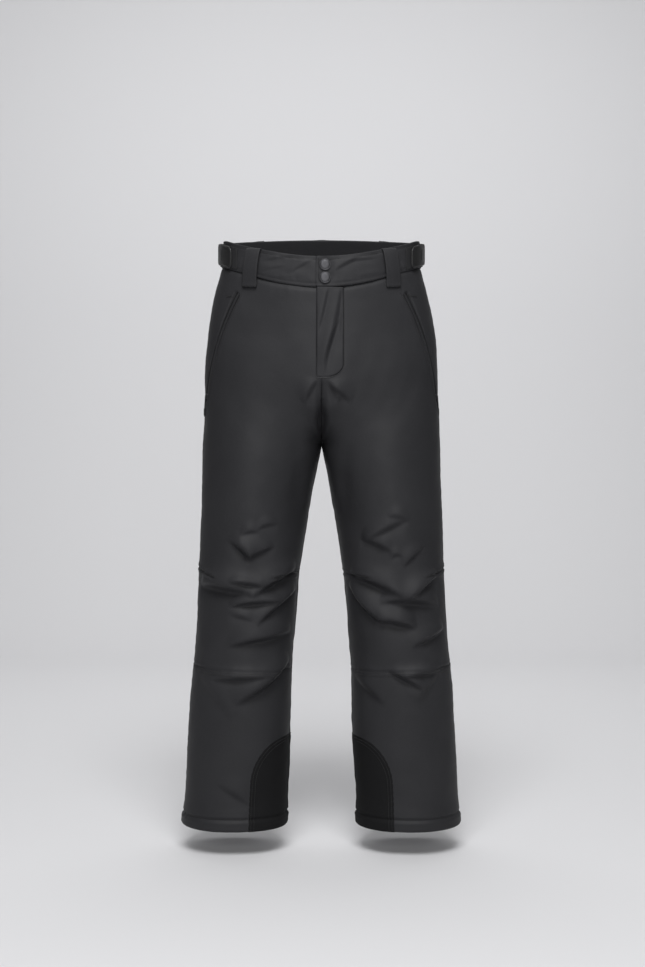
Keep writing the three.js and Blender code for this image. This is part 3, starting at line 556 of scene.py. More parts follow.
def round_section(r):
    """Outline of a wire's or cord's round section, with eight sides."""
    t = np.linspace(0, 2 * math.pi, 9)[:-1]
    return r * np.stack([np.cos(t), np.sin(t)], -1)


def ends_in(rings, by=0.8):
    """Rounds a tube's two ends: one more ring at each, drawn in to three fifths and moved out a little."""
    first, last = rings[0], rings[-1]
    step0 = unit((rings[0] - rings[1]).mean(0)) * by
    step1 = unit((rings[-1] - rings[-2]).mean(0)) * by
    small0 = first.mean(0) + (first - first.mean(0)) * 0.6 + step0
    small1 = last.mean(0) + (last - last.mean(0)) * 0.6 + step1
    return np.concatenate([small0[None], rings, small1[None]])


def stitch_shape(points, tangents, outs, long, wide):
    """One short capsule for each point: a ring of four about its middle at three stations, and two tips."""
    points, tangents, outs = (np.asarray(v, float) for v in (points, tangents, outs))
    side = unit(np.cross(tangents, outs))
    outs = np.cross(side, tangents)
    turn = np.linspace(0, 2 * math.pi, 5)[:4] + math.pi / 4
    cos, sin = wide * np.cos(turn)[None, :, None], wide * np.sin(turn)[None, :, None]
    ring = side[:, None] * cos + outs[:, None] * sin * 0.8
    rings = [points[:, None] + ring * s + tangents[:, None] * (k * long / 2) for k,
             s in ((-0.7, 0.75), (0, 1.15), (0.7, 0.75))]
    tips = [points[:, None] + tangents[:, None] * (k * long / 2) - outs[:, None] * wide * 0.5 for k in (-1, 1)]
    p = np.concatenate([*rings, *tips], 1)
    i = np.arange(4)
    j = (i + 1) % 4
    quads = np.concatenate([np.stack([i + a, j + a, j + a + 4, i + a + 4], -1) for a in (0, 4)])
    tris = np.concatenate([np.stack([np.full(4, 12), j, i], -1), np.stack([np.full(4, 13), i + 8, j + 8], -1)])
    base = np.arange(len(points))[:, None, None] * 14
    quads, tris = (base + quads[None]).reshape(-1, 4), (base + tris[None]).reshape(-1, 3)
    flat = p.reshape(-1, 3)
    return flat, outward(flat, [quads, tris])


def put_stitches(name, runs, pitch=3.4, long=2.6, wide=0.5):
    """Thread along several runs, each a path's points and their outward normals, one stitch every pitch."""
    points, faces, count = [], [], 0
    for path, normal in runs:
        both, at = even(np.hstack([path, normal]), pitch)
        p, n = both[:, :3], unit(both[:, 3:])
        tangent = unit(np.gradient(p, axis=0))
        q, f = stitch_shape(p, tangent, n, long, wide)
        points.append(q)
        faces += [g + count for g in f]
        count += len(q)
    made = put_mesh(name, np.concatenate(points), faces)
    # the thread's tones are painted darker than the cloth, as painted shade of the stitch holes
    made.data.materials.append(MATERIALS["thread"])
    return made


def on_shell(side, u, z, h=0.0):
    """Points and normals on the shell with its relief, h above it."""
    u, z = np.broadcast_arrays(np.asarray(u, float), np.asarray(z, float))
    return face(side, u, z, relief(side, u, z) + h)


def disc(outline, rings, place):
    """A closed pad: the outline drawn in to each ring's share, at each ring's height, by place(s, t, h)."""
    outline = np.asarray(outline, float)
    middle = outline.mean(0)
    share, height = np.asarray(rings, float).T
    st = middle + (outline - middle)[None] * share[:, None, None]
    p = place(st[..., 0], st[..., 1], np.broadcast_to(height[:, None], st.shape[:2]))
    points, faces = tube_parts(p)
    return points, outward(points, faces)


def round_box(half_s, half_t, r, per=7):
    """Outline of a rectangle with round corners."""
    t = np.linspace(0, math.pi / 2, per)
    corner = np.stack([half_s - r + r * np.cos(t), half_t - r + r * np.sin(t)], -1)
    around = [corner, corner[::-1] * [-1, 1], -corner, corner[::-1] * [1, -1]]
    made = np.vstack(around)
    dense = np.vstack([made, made[:1]])
    return even(dense, max(1.2, (half_s + half_t) / 24))[0][:-1]


def pad_rings(thick, roll, dome=0.0, n=6):
    """Heights of a pad from its top's middle, over a rolled edge, to its under side's middle."""
    top = [(s, thick + dome * (1 - s * s)) for s in np.linspace(0.02, 1 - roll, n)]
    edge = [(1 - roll + roll * math.sin(a), thick * (0.5 + 0.5 * math.cos(a)))
            for a in np.linspace(0.3, math.pi - 0.3, 6)]
    under = [(s, 0.0) for s in np.linspace(1 - roll, 0.02, 3)]
    return top + edge + under


def put_parts(name, parts):
    """One object of several closed shapes, each given as its points and faces."""
    points, faces, count = [], [], 0
    for p, f in parts:
        points.append(p)
        faces += [g + count for g in f]
        count += len(p)
    return put_mesh(name, np.concatenate(points), faces)


def lathe(profile, steps=36):
    """A turned closed shape about the depth axis: profile is radius and depth, from the axis to the axis."""
    r, d = np.asarray(profile, float).T
    turn = np.linspace(0, 2 * math.pi, steps + 1)[:-1]
    return np.stack([r[:, None] * np.cos(turn), np.broadcast_to(d[:, None], (len(r), steps)),
                     r[:, None] * np.sin(turn)], -1)


# ---- The fly's and the side fittings' frames -----------------------------------------------------
def fly_frame():
    """The fly's frame: x across, y inwards, z up the front, from the hip's face at the fly's middle."""
    z0 = sum(SNAP_Z) / 2
    side, r, rise, big, meet, length = (float(v) for v in hip_arcs(z0, True))
    turn = -math.acos(FLY_X / big)
    place = np.array([big * math.cos(turn), rise + big * math.sin(turn), z0])
    x = np.array([-math.sin(turn), math.cos(turn), 0])
    z = unit(np.array([0, FLY_LEAN, 1.0]))
    y = unit(np.cross(z, x))
    return place, np.array([np.cross(y, z), y, z])


FLY_PLACE, FLY_AXES = fly_frame()
FLY_Z0 = sum(SNAP_Z) / 2


def in_fly(p):
    """Points of the fly's frame, with heights measured as garment heights, in the garment's frame."""
    p = np.asarray(p, float) - [0, 0, FLY_Z0]
    return FLY_PLACE + p @ FLY_AXES


def side_wall(side, r, turn, z):
    """Points round the side arc's upright axis."""
    t = np.radians(turn)
    return np.stack([side * (SIDE_X + r * np.cos(t)), r * np.sin(t), z + 0 * r], -1)


# ---- Materials -----------------------------------------------------------------------------------
def linear(code, alpha=1.0):
    """An sRGB hex colour as the linear numbers that shaders take."""
    rgb = [int(code[i : i + 2], 16) / 255 for i in (1, 3, 5)]
    return tuple(c / 12.92 if c <= 0.04045 else ((c + 0.055) / 1.055) ** 2.4 for c in rgb) + (alpha,)


def node(tree, kind, settings=None, **inputs):
    """Adds a node with its settings, and sets or links each named input; a link is an output socket."""
    made = tree.nodes.new(kind)
    for key, value in (settings or {}).items():
        setattr(made, key, value)
    for key, value in inputs.items():
        numbered = key[0] == "i" and key[1:].isdigit()
        socket = made.inputs[int(key[1:]) if numbered else key.replace("_", " ")]
        if isinstance(value, bpy.types.NodeSocket):
            tree.links.new(value, socket)
        else:
            socket.default_value = value
    return made


MATERIALS = {}


def material(name):
    """An empty material and its node tree."""
    made = bpy.data.materials.new(name)
    made.use_nodes = True
    made.node_tree.nodes.clear()
    return made, made.node_tree


def two_tones(tree, fac, dark, light):
    """A colour between two tones, by a factor's socket."""
    return node(tree, "ShaderNodeMix", {"data_type": "RGBA"}, i0=fac, i6=linear(dark),
                i7=linear(light)).outputs[2]


def finish_material(tree, colour, rough, bump=None, **fixed):
    """Principled shader with its colour, roughness and bump, and constants on its own sockets."""
    shader = node(tree, "ShaderNodeBsdfPrincipled", None, Base_Color=colour, Roughness=rough, **fixed)
    if bump is not None:
        tree.links.new(bump, shader.inputs["Normal"])
    node(tree, "ShaderNodeOutputMaterial", None, Surface=shader.outputs[0])


def bumped(tree, height, distance, strength=1.0, under=None):
    """A normal from a height's socket, with its depth in metres, over another normal if there is one."""
    made = node(tree, "ShaderNodeBump", None, Height=height, Distance=distance, Strength=strength)
    if under is not None:
        tree.links.new(under, made.inputs["Normal"])
    return made.outputs[0]


def woven_cloth(name, dark, light, rough, thread_mm, relief_mm, sheen, crinkle_mm, specular, uv):
    """A woven cloth: warp and weft as two crossed waves, with uneven tone and a fine crinkle."""
    made, tree = material(name)
    where = node(tree, "ShaderNodeTexCoord").outputs["UV" if uv else "Object"]
    k = 1000.0 / thread_mm
    split = node(tree, "ShaderNodeSeparateXYZ", None, Vector=where)
    waves = []
    for axis in (0, 1):
        turn = node(tree, "ShaderNodeMath", {"operation": "MULTIPLY"}, i0=split.outputs[axis], i1=k * math.pi)
        waves.append(node(tree, "ShaderNodeMath", {"operation": "SINE"}, i0=turn.outputs[0]).outputs[0])
    weave = node(tree, "ShaderNodeMath", {"operation": "MULTIPLY"}, i0=waves[0], i1=waves[1]).outputs[0]
    soft = node(tree, "ShaderNodeTexNoise", None, Vector=where, Scale=14.0, Detail=3.0, Roughness=0.5).outputs[0]
    crinkle = node(tree, "ShaderNodeTexNoise", None, Vector=where, Scale=70.0, Detail=4.0,
                   Roughness=0.55).outputs[0]
    fleck = node(tree, "ShaderNodeTexNoise", None, Vector=where, Scale=420.0, Detail=2.0,
                 Roughness=0.6).outputs[0]
    mixed = node(tree, "ShaderNodeMix", None, i0=0.5, i2=soft, i3=fleck).outputs[0]
    tone = node(tree, "ShaderNodeMath", {"operation": "MULTIPLY_ADD", "use_clamp": True}, i0=weave, i1=0.2,
                i2=mixed).outputs[0]
    shine = node(tree, "ShaderNodeMapRange", None, Value=soft, i3=rough - 0.05, i4=rough + 0.05).outputs[0]
    under = bumped(tree, crinkle, crinkle_mm * MM)
    finish_material(tree, two_tones(tree, tone, dark, light), shine,
                    bumped(tree, weave, relief_mm * MM, 0.6, under),
                    Sheen_Weight=sheen, Sheen_Roughness=0.45, Specular_IOR_Level=specular)
    return made


def grained(name, tones, scale, detail, rough, depth, grain=None, metallic=0.0):
    """A solid finish: cloudy tones, and a bump from a finer grain, or from the clouds where it has none."""
    made, tree = material(name)
    where = node(tree, "ShaderNodeTexCoord").outputs["Object"]
    cloud = node(tree, "ShaderNodeTexNoise", None, Vector=where, Scale=scale, Detail=detail).outputs[0]
    height = cloud
    if grain:
        height = node(tree, "ShaderNodeTexNoise", None, Vector=where, Scale=grain[0], Detail=grain[1]).outputs[0]
    if isinstance(rough, tuple):
        rough = node(tree, "ShaderNodeMapRange", None, Value=cloud, i3=rough[0], i4=rough[1]).outputs[0]
    finish_material(tree, two_tones(tree, cloud, *tones), rough, bumped(tree, height, depth), Metallic=metallic)
    return made


def make_materials(looks):
    """Fills MATERIALS with every finish of the pants."""
    cloths = {
        # Polyester taffeta with a coated back, densely woven: a quiet, nearly matt face with a faint fleck.
        # Its threads are 0.25 mm; they are drawn at 0.9 mm so that they show.
        "shell": ("coated_polyester_taffeta", looks.shell_dark, looks.shell_light, 0.55, 0.9, 0.04, 0.0, 0.3,
                  0.14, True),
        # Nylon lining taffeta, thin and slippery: a little glossier and darker, 1 mm for threads of 0.2 mm.
        "lining": ("nylon_lining_taffeta", "#151517", "#1d1d20", 0.5, 1.0, 0.03, 0.0, 0.8, 0.3, True),
        # Brushed tricot fleece: no gloss at all and a soft bloom at its edges; loops of 0.6 mm drawn at 1.6 mm.
        "fleece": ("brushed_tricot_fleece", "#1b1b1d", "#262628", 0.95, 1.6, 0.25, 0.06, 1.2, 0.15, True),
        # Heavy nylon plain weave of 0.6 mm yarns, drawn at 1.3 mm: matte, darker, with a visible grid.
        "guard": ("heavy_nylon_plain_weave", "#101011", "#1a1a1b", 0.75, 1.3, 0.12, 0.0, 0.3, 0.12, True),
        # Polyester zip tape, a tight warp knit of 0.5 mm wales, drawn at 1 mm: flat and very dark.
        "tape": ("polyester_zip_tape", "#0f0f10", "#19191a", 0.85, 1.0, 0.08, 0.0, 0.1, 0.25, False),
        # Knitted hook-and-loop tape and elastic: fuzzy ribs 1.5 mm apart, without gloss.
        "webbing": ("polyester_webbing", "#161617", "#252527", 0.8, 1.5, 0.18, 0.02, 0.5, 0.25, False),
    }
    for key, cloth in cloths.items():
        MATERIALS[key] = woven_cloth(*cloth)

    # Moulded TPU: an even, faintly grained black plastic with a soft broad highlight. Grain 0.4 mm.
    MATERIALS["plastic"] = grained("moulded_tpu", ("#191919", "#222223"), 60.0, 2.0, 0.42, 0.00005, (1600.0, 2.0))
    # Brass plated with black nickel and tumbled: a dark grey satin metal, with fine scuffs of about 0.3 mm.
    tones = looks.metal_dark, looks.metal_light
    MATERIALS["metal"] = grained("black_nickel_plate", tones, 180.0, 2.0, (0.42, 0.52), 0.00003, (2200.0, 3.0),
                                 0.85)
    # Nylon monofilament coil of a zip: smooth, slightly translucent-looking black with small bright points.
    MATERIALS["coil"] = grained("nylon_coil", ("#101010", "#1b1b1c"), 400.0, 2.0, 0.35, 0.00004)
    # Bonded polyester thread, two plies twisted every 0.9 mm: black thread, painted darker than the cloth as
    # painted shade of the stitch holes, so each seam reads as a dotted dark line that catches a little light.
    MATERIALS["thread"] = grained("bonded_polyester_thread_painted_shade", ("#0b0b0c", "#161617"), 1100.0, 1.0, 0.55, 0.00008)


def dress(made, key, slot=None):
    made.data.materials.clear()
    made.data.materials.append(MATERIALS[key])
    slot or {"thread": "shell", "coil": "tape"}.get(key, key)
    return made


def hip_blend(made, name):
    """Bakes the piece's transform into its mesh."""
    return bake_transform(made)


def knee_blend(made, name):
    """Bakes the piece's transform into its mesh."""
    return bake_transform(made)


# ---- Settings ------------------------------------------------------------------------------------
class PANTS_PG_looks(bpy.types.PropertyGroup):
    """Tones of the cloth, the metal and the backdrop"""

    shell_dark: StringProperty(name="Shell, dark tone", description="Darker tone of the outer cloth, sRGB hex",
                               default="#222224")
    shell_light: StringProperty(name="Shell, light tone", description="Lighter tone of the outer cloth, sRGB hex",
                                default="#303032")
    metal_dark: StringProperty(name="Metal, dark tone",
                               description="Darker tone of the snaps and sliders, sRGB hex", default="#38383a")
    metal_light: StringProperty(name="Metal, light tone",
                                description="Lighter tone of the snaps and sliders, sRGB hex", default="#48484b")
    backdrop: StringProperty(name="Backdrop", description="Colour of the floor and backdrop, sRGB hex",
                             default="#dedee0")


class PANTS_PG_sizes(bpy.types.PropertyGroup):
    """Grid spacing and depths"""

    columns: IntProperty(name="Columns", description="Points round half of the garment", default=250, min=60,
                         max=300)
    row: FloatProperty(name="Row spacing", description="Height between rows of the shell's grid", default=0.0024,
                       min=0.0015, unit="LENGTH", subtype="DISTANCE")
    lining_depth: FloatProperty(name="Lining depth", description="Depth of the lining's face inside the shell's",
                                default=0.0068, unit="LENGTH", subtype="DISTANCE")
    floor_drop: FloatProperty(name="Floor drop", description="Depth of the floor under the hems", default=0.043,
                              unit="LENGTH", subtype="DISTANCE")
    stitch: FloatProperty(name="Stitch length", description="Length of one topstitch with its gap",
                          default=0.0034, unit="LENGTH", subtype="DISTANCE")


class PANTS_OT_materials(bpy.types.Operator):
    """Finishes of the cloths, tapes, plastic, metal and thread"""

    bl_idname = "pants.materials"
    bl_label = "Materials"

    def execute(self, context):
        make_materials(context.scene.pants_looks)
        return {"FINISHED"}


# ---- Shell and linings ---------------------------------------------------------------------------
def shell_rows(u, upper, row):
    """Heights and offsets of a shell's rows, from the waist seam to the join or from there round the hem."""
    if upper:
        top = at_waist(u, band_height(u))
        v = np.linspace(0, 1, int(150 / row))[:, None]
        first = top + (-200 - top) * v
        rest = np.arange(-200 - row, JOIN_Z + row * 0.5, -row)
        near = np.arange(CROTCH_Z + 1, CROTCH_Z + 26, 1.2)
        rest = np.unique(np.concatenate([rest, near, [JOIN_Z, CROTCH_Z + 0.4, CROTCH_Z]]))[::-1]
        z = np.vstack([top + 4, top + 2, first, np.broadcast_to(rest[:, None], (len(rest), len(u)))])
        drop = np.zeros(z.shape)
        drop[0], drop[1] = -3.0, -1.6
        return z, drop
    rest = np.arange(JOIN_Z, HEM_Z + 3, -row)
    turn = np.linspace(0, math.pi, 9)
    roll_z, roll_h = HEM_Z + 3 - 3 * np.sin(turn), -3.6 + 3.6 * np.cos(turn)
    up = np.arange(HEM_Z + 6, HEM_Z + HEM_H + 4, 3.0)
    z = np.concatenate([rest, roll_z, up])
    h = np.concatenate([np.zeros(len(rest)), roll_h, np.full(len(up), -7.2)])
    return np.broadcast_to(z[:, None], (len(z), len(u))), np.broadcast_to(h[:, None], (len(z), len(u)))


def grid_normals(p, side):
    """Outward normals of a grid: the cross of its slopes along the columns and up the rows."""
    n = np.cross(np.gradient(p, axis=1), -np.gradient(p, axis=0))
    return unit(n) * side


class PANTS_OT_shell(bpy.types.Operator):
    """Outer cloth of both sides, above and below the join. Each point is the half garment's face at its share
    of the girth and its height, moved out by the relief; at the hem the rows turn under in a half circle"""

    bl_idname = "pants.shell"
    bl_label = "Shell"

    def execute(self, context):
        sizes = context.scene.pants_sizes
        row = sizes.row / MM
        u = np.linspace(0, 1, sizes.columns + 1)
        for name, side in SIDES:
            for upper in (True, False):
                z, drop = shell_rows(u, upper, row)
                extra = JOIN_Z + (-row if upper else row)
                if upper:
                    z, drop = np.vstack([z, np.full(len(u), extra)]), np.vstack([drop, np.zeros(len(u))])
                else:
                    z, drop = np.vstack([np.full(len(u), extra), z]), np.vstack([np.zeros(len(u)), drop])
                uu = np.broadcast_to(u, z.shape)
                tucked = ramp(1 + drop / 3.6) if not upper else 1.0
                p, _ = face(side, uu, z, relief(side, uu, z) * tucked + drop)
                n = grid_normals(p, side)
                uv = np.stack([uu * girth(z), z], -1)
                keep = slice(0, -1) if upper else slice(1, None)
                piece = "shell_upper_" if upper else "shell_lower_"
                made = put_grid(piece + name, p[keep], uv[keep], flip=side > 0, normals=n[keep])
                dress(made, "shell")
                if upper:
                    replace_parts(made, f"front_panel_{name}", f"back_panel_{name}", f"thigh_shell_{name}")
                    hip_blend(made, name)
                else:
                    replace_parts(made, f"shin_shell_{name}")
                    knee_blend(made, name)
        return {"FINISHED"}


class PANTS_OT_lining(bpy.types.Operator):
    """Quilted linings and pocket bags. A lining is the face moved in by its depth and by the root of a sine of
    the height, which makes a sewn line every 70 mm; a bag is the face moved in by 4.4 mm and a slight bulge"""

    bl_idname = "pants.lining"
    bl_label = "Linings"

    def execute(self, context):
        depth = context.scene.pants_sizes.lining_depth / MM
        u = np.linspace(0, 1, 97)
        for name, side in SIDES:
            for upper in (True, False):
                if upper:
                    top = at_waist(u, band_height(u) - 2)
                    v = np.linspace(0, 1, 26)[:, None]
                    rest = np.concatenate([np.arange(-206, CROTCH_Z, -6.0), [CROTCH_Z + 0.3, CROTCH_Z],
                                           np.arange(CROTCH_Z - 6, JOIN_Z, -6.0), [JOIN_Z]])
                    z = np.vstack([top + (-200 - top) * v, np.broadcast_to(rest[:, None], (len(rest), len(u)))])
                else:
                    rest = np.concatenate([np.arange(JOIN_Z, HEM_Z + HEM_H + 4, -6.0), [HEM_Z + HEM_H + 1]])
                    z = np.broadcast_to(rest[:, None], (len(rest), len(u)))
                uu = np.broadcast_to(u, z.shape)
                sewn = z * math.pi / 70
                pucker = 0.4 * np.sin(uu * girth(z) * 2 * math.pi / 23) * np.cos(sewn) ** 2
                quilt = 2.2 * np.abs(np.sin(sewn)) ** 0.5 + pucker
                h = np.minimum(relief(side, uu, z, sewn=False), 1.5) - depth - quilt
                edge = np.minimum(uu, 1 - uu)
                h = h * np.where(z > CROTCH_Z, 1.0, 0.75 + 0.25 * ramp(edge / 0.03))
                x, _ = face(side, uu, z)
                by_fly = (np.abs(x[..., 0] - FLY_X) < FLY_HALF + 8) * (x[..., 1] < 0) * (z > FLY_BOTTOM_Z - 8)
                h = np.where(by_fly, -16.0, h)
                p, _ = face(side, uu, z, h)
                part = "lining_upper_" if upper else "lining_lower_"
                made = put_grid(part + name, p, np.stack([uu * girth(z), z], -1), flip=side < 0)
                dress(made, "lining")
                if upper:
                    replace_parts(made, f"hip_lining_{name}", f"thigh_lining_{name}")
                    hip_blend(made, name)
                else:
                    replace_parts(made, f"shin_lining_{name}")
                    knee_blend(made, name)
            u0, u1 = u_at_x(72, -200), 0.5 + 0.04
            us, zs = np.meshgrid(np.linspace(u0, u1, 30), np.linspace(-128, -316, 30))
            low = relief(side, us, zs, sewn=False)
            sag = 1.2 * np.sin((us - u0) / (u1 - u0) * math.pi) * np.sin((zs + 128) / -188 * math.pi)
            p, _ = face(side, us, zs, np.minimum(low, 0) - 4.4 - sag)
            bag = dress(put_grid(f"pocket_pouch_{name}", p, np.stack([us * girth(zs), zs], -1), flip=side > 0),
                        "lining")
            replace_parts(bag, f"pocket_bag_{name}")
            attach(bag, "hips")
        return {"FINISHED"}


# ---- Waistband -----------------------------------------------------------------------------------
def band_outline():
    """The band's section, height and depth: a puffed face held near both edges, a rolled top and a flat back."""
    q = np.linspace(0, 1, 25)
    drop = -BAND_H * (1 - q)
    puff = 0.5 + 1.5 * np.sin(math.pi * q) ** 0.45
    for d in (4.0, BAND_H - 4.2):
        puff -= 1.05 * bell((-drop - d) / 1.5)
    outer = np.stack([drop, puff], -1)
    t = np.linspace(0.25, math.pi - 0.25, 6)
    roll = np.stack([0.2 + 1.0 * np.sin(t), -2.3 + 2.8 * np.cos(t)], -1)
    inner = np.stack([np.linspace(-1.5, -BAND_H + 0.8, 8), np.full(8, -5.2)], -1)
    under = np.array([[-BAND_H - 0.3, -3.4], [-BAND_H - 0.6, -1.2]])
    return np.vstack([outer, roll, inner, under]), len(outer)


def band_piece(name, sides, us, lift=0.0):
    """The band along columns of side and place: each is the section on the face there, folded and puckered."""
    outline, face_count = band_outline()
    s, u = sides[:, None], us[:, None]
    base = at_waist(us, 0.0)[:, None]
    z = base + outline[None, :, 0] * (band_height(us) / BAND_H)[:, None]
    h = np.broadcast_to(outline[None, :, 1], z.shape).copy() + lift
    p, _ = face(s, np.broadcast_to(u, z.shape), z)
    x = p[..., 0]
    on = (np.arange(z.shape[1]) < face_count)[None] * (p[..., 1] < 20)
    mask = np.sin(ramp((z - base + BAND_H) / BAND_H) * math.pi) ** 0.5
    for x0, z0, x1, z1, width, depth, bow in BAND_FOLDS:
        h += on * mask * fold(x, z, ((x0, z0), (x1, z1)), width, depth, bow)
    along = np.cumsum(np.concatenate([[0], np.linalg.norm(np.diff(p[:, 8], axis=0), axis=1)]))[:, None]
    drop = base - z
    h += (np.arange(z.shape[1]) < face_count)[None] * (
        swell(along + 0 * z, 0 * z, 9, 7, 15, 5, 0.13) * (bell((drop - 6) / 4) + bell((drop - 40) / 4))
        + swell(along + 0 * z, z, 5, 26, 60, 8, 0.55) * mask
    )
    for c in in_fly([[SNAP_X, 0, snap_z] for snap_z in SNAP_Z]):
        pressed = on * bell(((x - c[0]) ** 2 + (z - c[2]) ** 2) / 14.0**2)
        h = h * (1 - pressed) + 0.15 * pressed
    p, n = face(s, np.broadcast_to(u, z.shape), z, h)
    rings = ends_in(p, 1.2)
    uv = np.stack([np.broadcast_to(along, z.shape), z - base], -1)
    uv = np.concatenate([uv[:1], uv, uv[-1:]])
    return put_tubes(name, [rings], [uv])


def band_columns(x_from, x_to, step=2.2):
    """Columns across the front between two signed x positions."""
    xs = np.arange(x_from, x_to + step * 0.5, step)
    z = np.full(len(xs), BAND_Z)
    return np.sign(xs) + (xs == 0), u_front(xs, z)


def band_ends():
    """Where on the girth the overlap meets the band, and where its free end covers the band's other end."""
    return tuple(float(u_front(np.array(x), np.array(BAND_Z))) for x in (BAND_SPLIT, FLY_X - FLY_HALF))


class PANTS_OT_waistband(bpy.types.Operator):
    """Padded waistband, its snapped overlap, the fleece facing and the underlap behind the snaps. The band is
    its section carried round the face, with the folds and a seeded swell added to the outer side"""

    bl_idname = "pants.waistband"
    bl_label = "Waistband"

    def execute(self, context):
        free = FLY_X - FLY_HALF
        s0, u0 = band_columns(free, BAND_SPLIT)
        lap = dress(band_piece("waistband_overlap", s0, u0, 0.9), "shell")
        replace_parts(lap, "waistband_tab")
        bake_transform(lap)

        u_split, u_free = band_ends()
        left = np.linspace(u_split, 1, int((1 - u_split) * 465 / 2.3))
        right = np.linspace(1, u_free + 0.0016, int((1 - u_free) * 465 / 2.3))[1:]
        sides = np.concatenate([np.ones(len(left)), -np.ones(len(right))])
        main = dress(band_piece("waistband_main", sides, np.concatenate([left, right])), "shell")
        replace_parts(main, "waistband")
        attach(main, "hips")

        # The facing runs all round inside the band, a knitted strip that ends behind the fly on both sides.
        us = np.linspace(u_free + 0.03, 1, 150)
        sides = np.concatenate([-np.ones(150), np.ones(149)])
        around = np.concatenate([us, us[::-1][1:]])
        rows = np.linspace(-1.2, -BAND_H - 4, 14)
        z = at_waist(around, 0.0)[None] + rows[:, None]
        bow = 1.0 * np.sin(np.linspace(0, math.pi, 14))[:, None] ** 0.5
        along = np.arange(len(around))[None] * 3.1
        h = -5.5 - bow - 0.4 * np.sin(along * 2 * math.pi / 19) * bell((rows[:, None] + 40) / 8)
        p, _ = face(sides[None], np.broadcast_to(around, z.shape), z, h)
        facing = dress(put_grid("waist_facing", p, np.stack([np.broadcast_to(along, z.shape), z], -1)), "fleece")
        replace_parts(facing, "waistband_facing")
        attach(facing, "hips")

        top, bottom = waist_line(-102.0) - 0.5, waist_line(-102.0) - BAND_H
        laps = (("waistband_lap", "waistband_underlap", "fleece", top, bottom),
                ("fly_shield", "fly_underlap", "lining", bottom - 0.4, FLY_BOTTOM_Z - 4))
        for name, cad, key, z1, z0 in laps:
            half_t = (z1 - z0) / 2
            outline = round_box(FLY_HALF + 3.2, half_t, 2.5)
            place = lambda s, t, h: in_fly(np.stack([s - 0.5, 11.4 - h, t + (z1 + z0) / 2], -1))
            points, faces = disc(outline, pad_rings(1.9, 0.06), place)
            lap = dress(put_mesh(name, points, faces, points[:, [0, 2]]), key)
            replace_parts(lap, cad)
            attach(lap, "hips")
        return {"FINISHED"}


# ---- Fly -----------------------------------------------------------------------------------------
def zip_coil(place, length, half=2.9, split=0.0, pitch=2.1):
    """Both rows of a coil zip: small capsules that cross its middle by turns, by place(across, along, height)."""
    count = int(length / pitch)
    t = (np.arange(count) + 0.5) * pitch
    made = []
    for way in (-1, 1):
        at = t + (pitch / 2 if way > 0 else 0)
        mid = place(np.full(count, way * half * 0.42), at, np.zeros(count))
        tip = place(np.full(count, way * half * 0.9), at, np.zeros(count))
        up = place(np.full(count, way * half * 0.42), at, np.ones(count))
        made.append(stitch_shape(mid, unit(tip - mid), unit(up - mid), half * 1.15, 0.72))
    return made


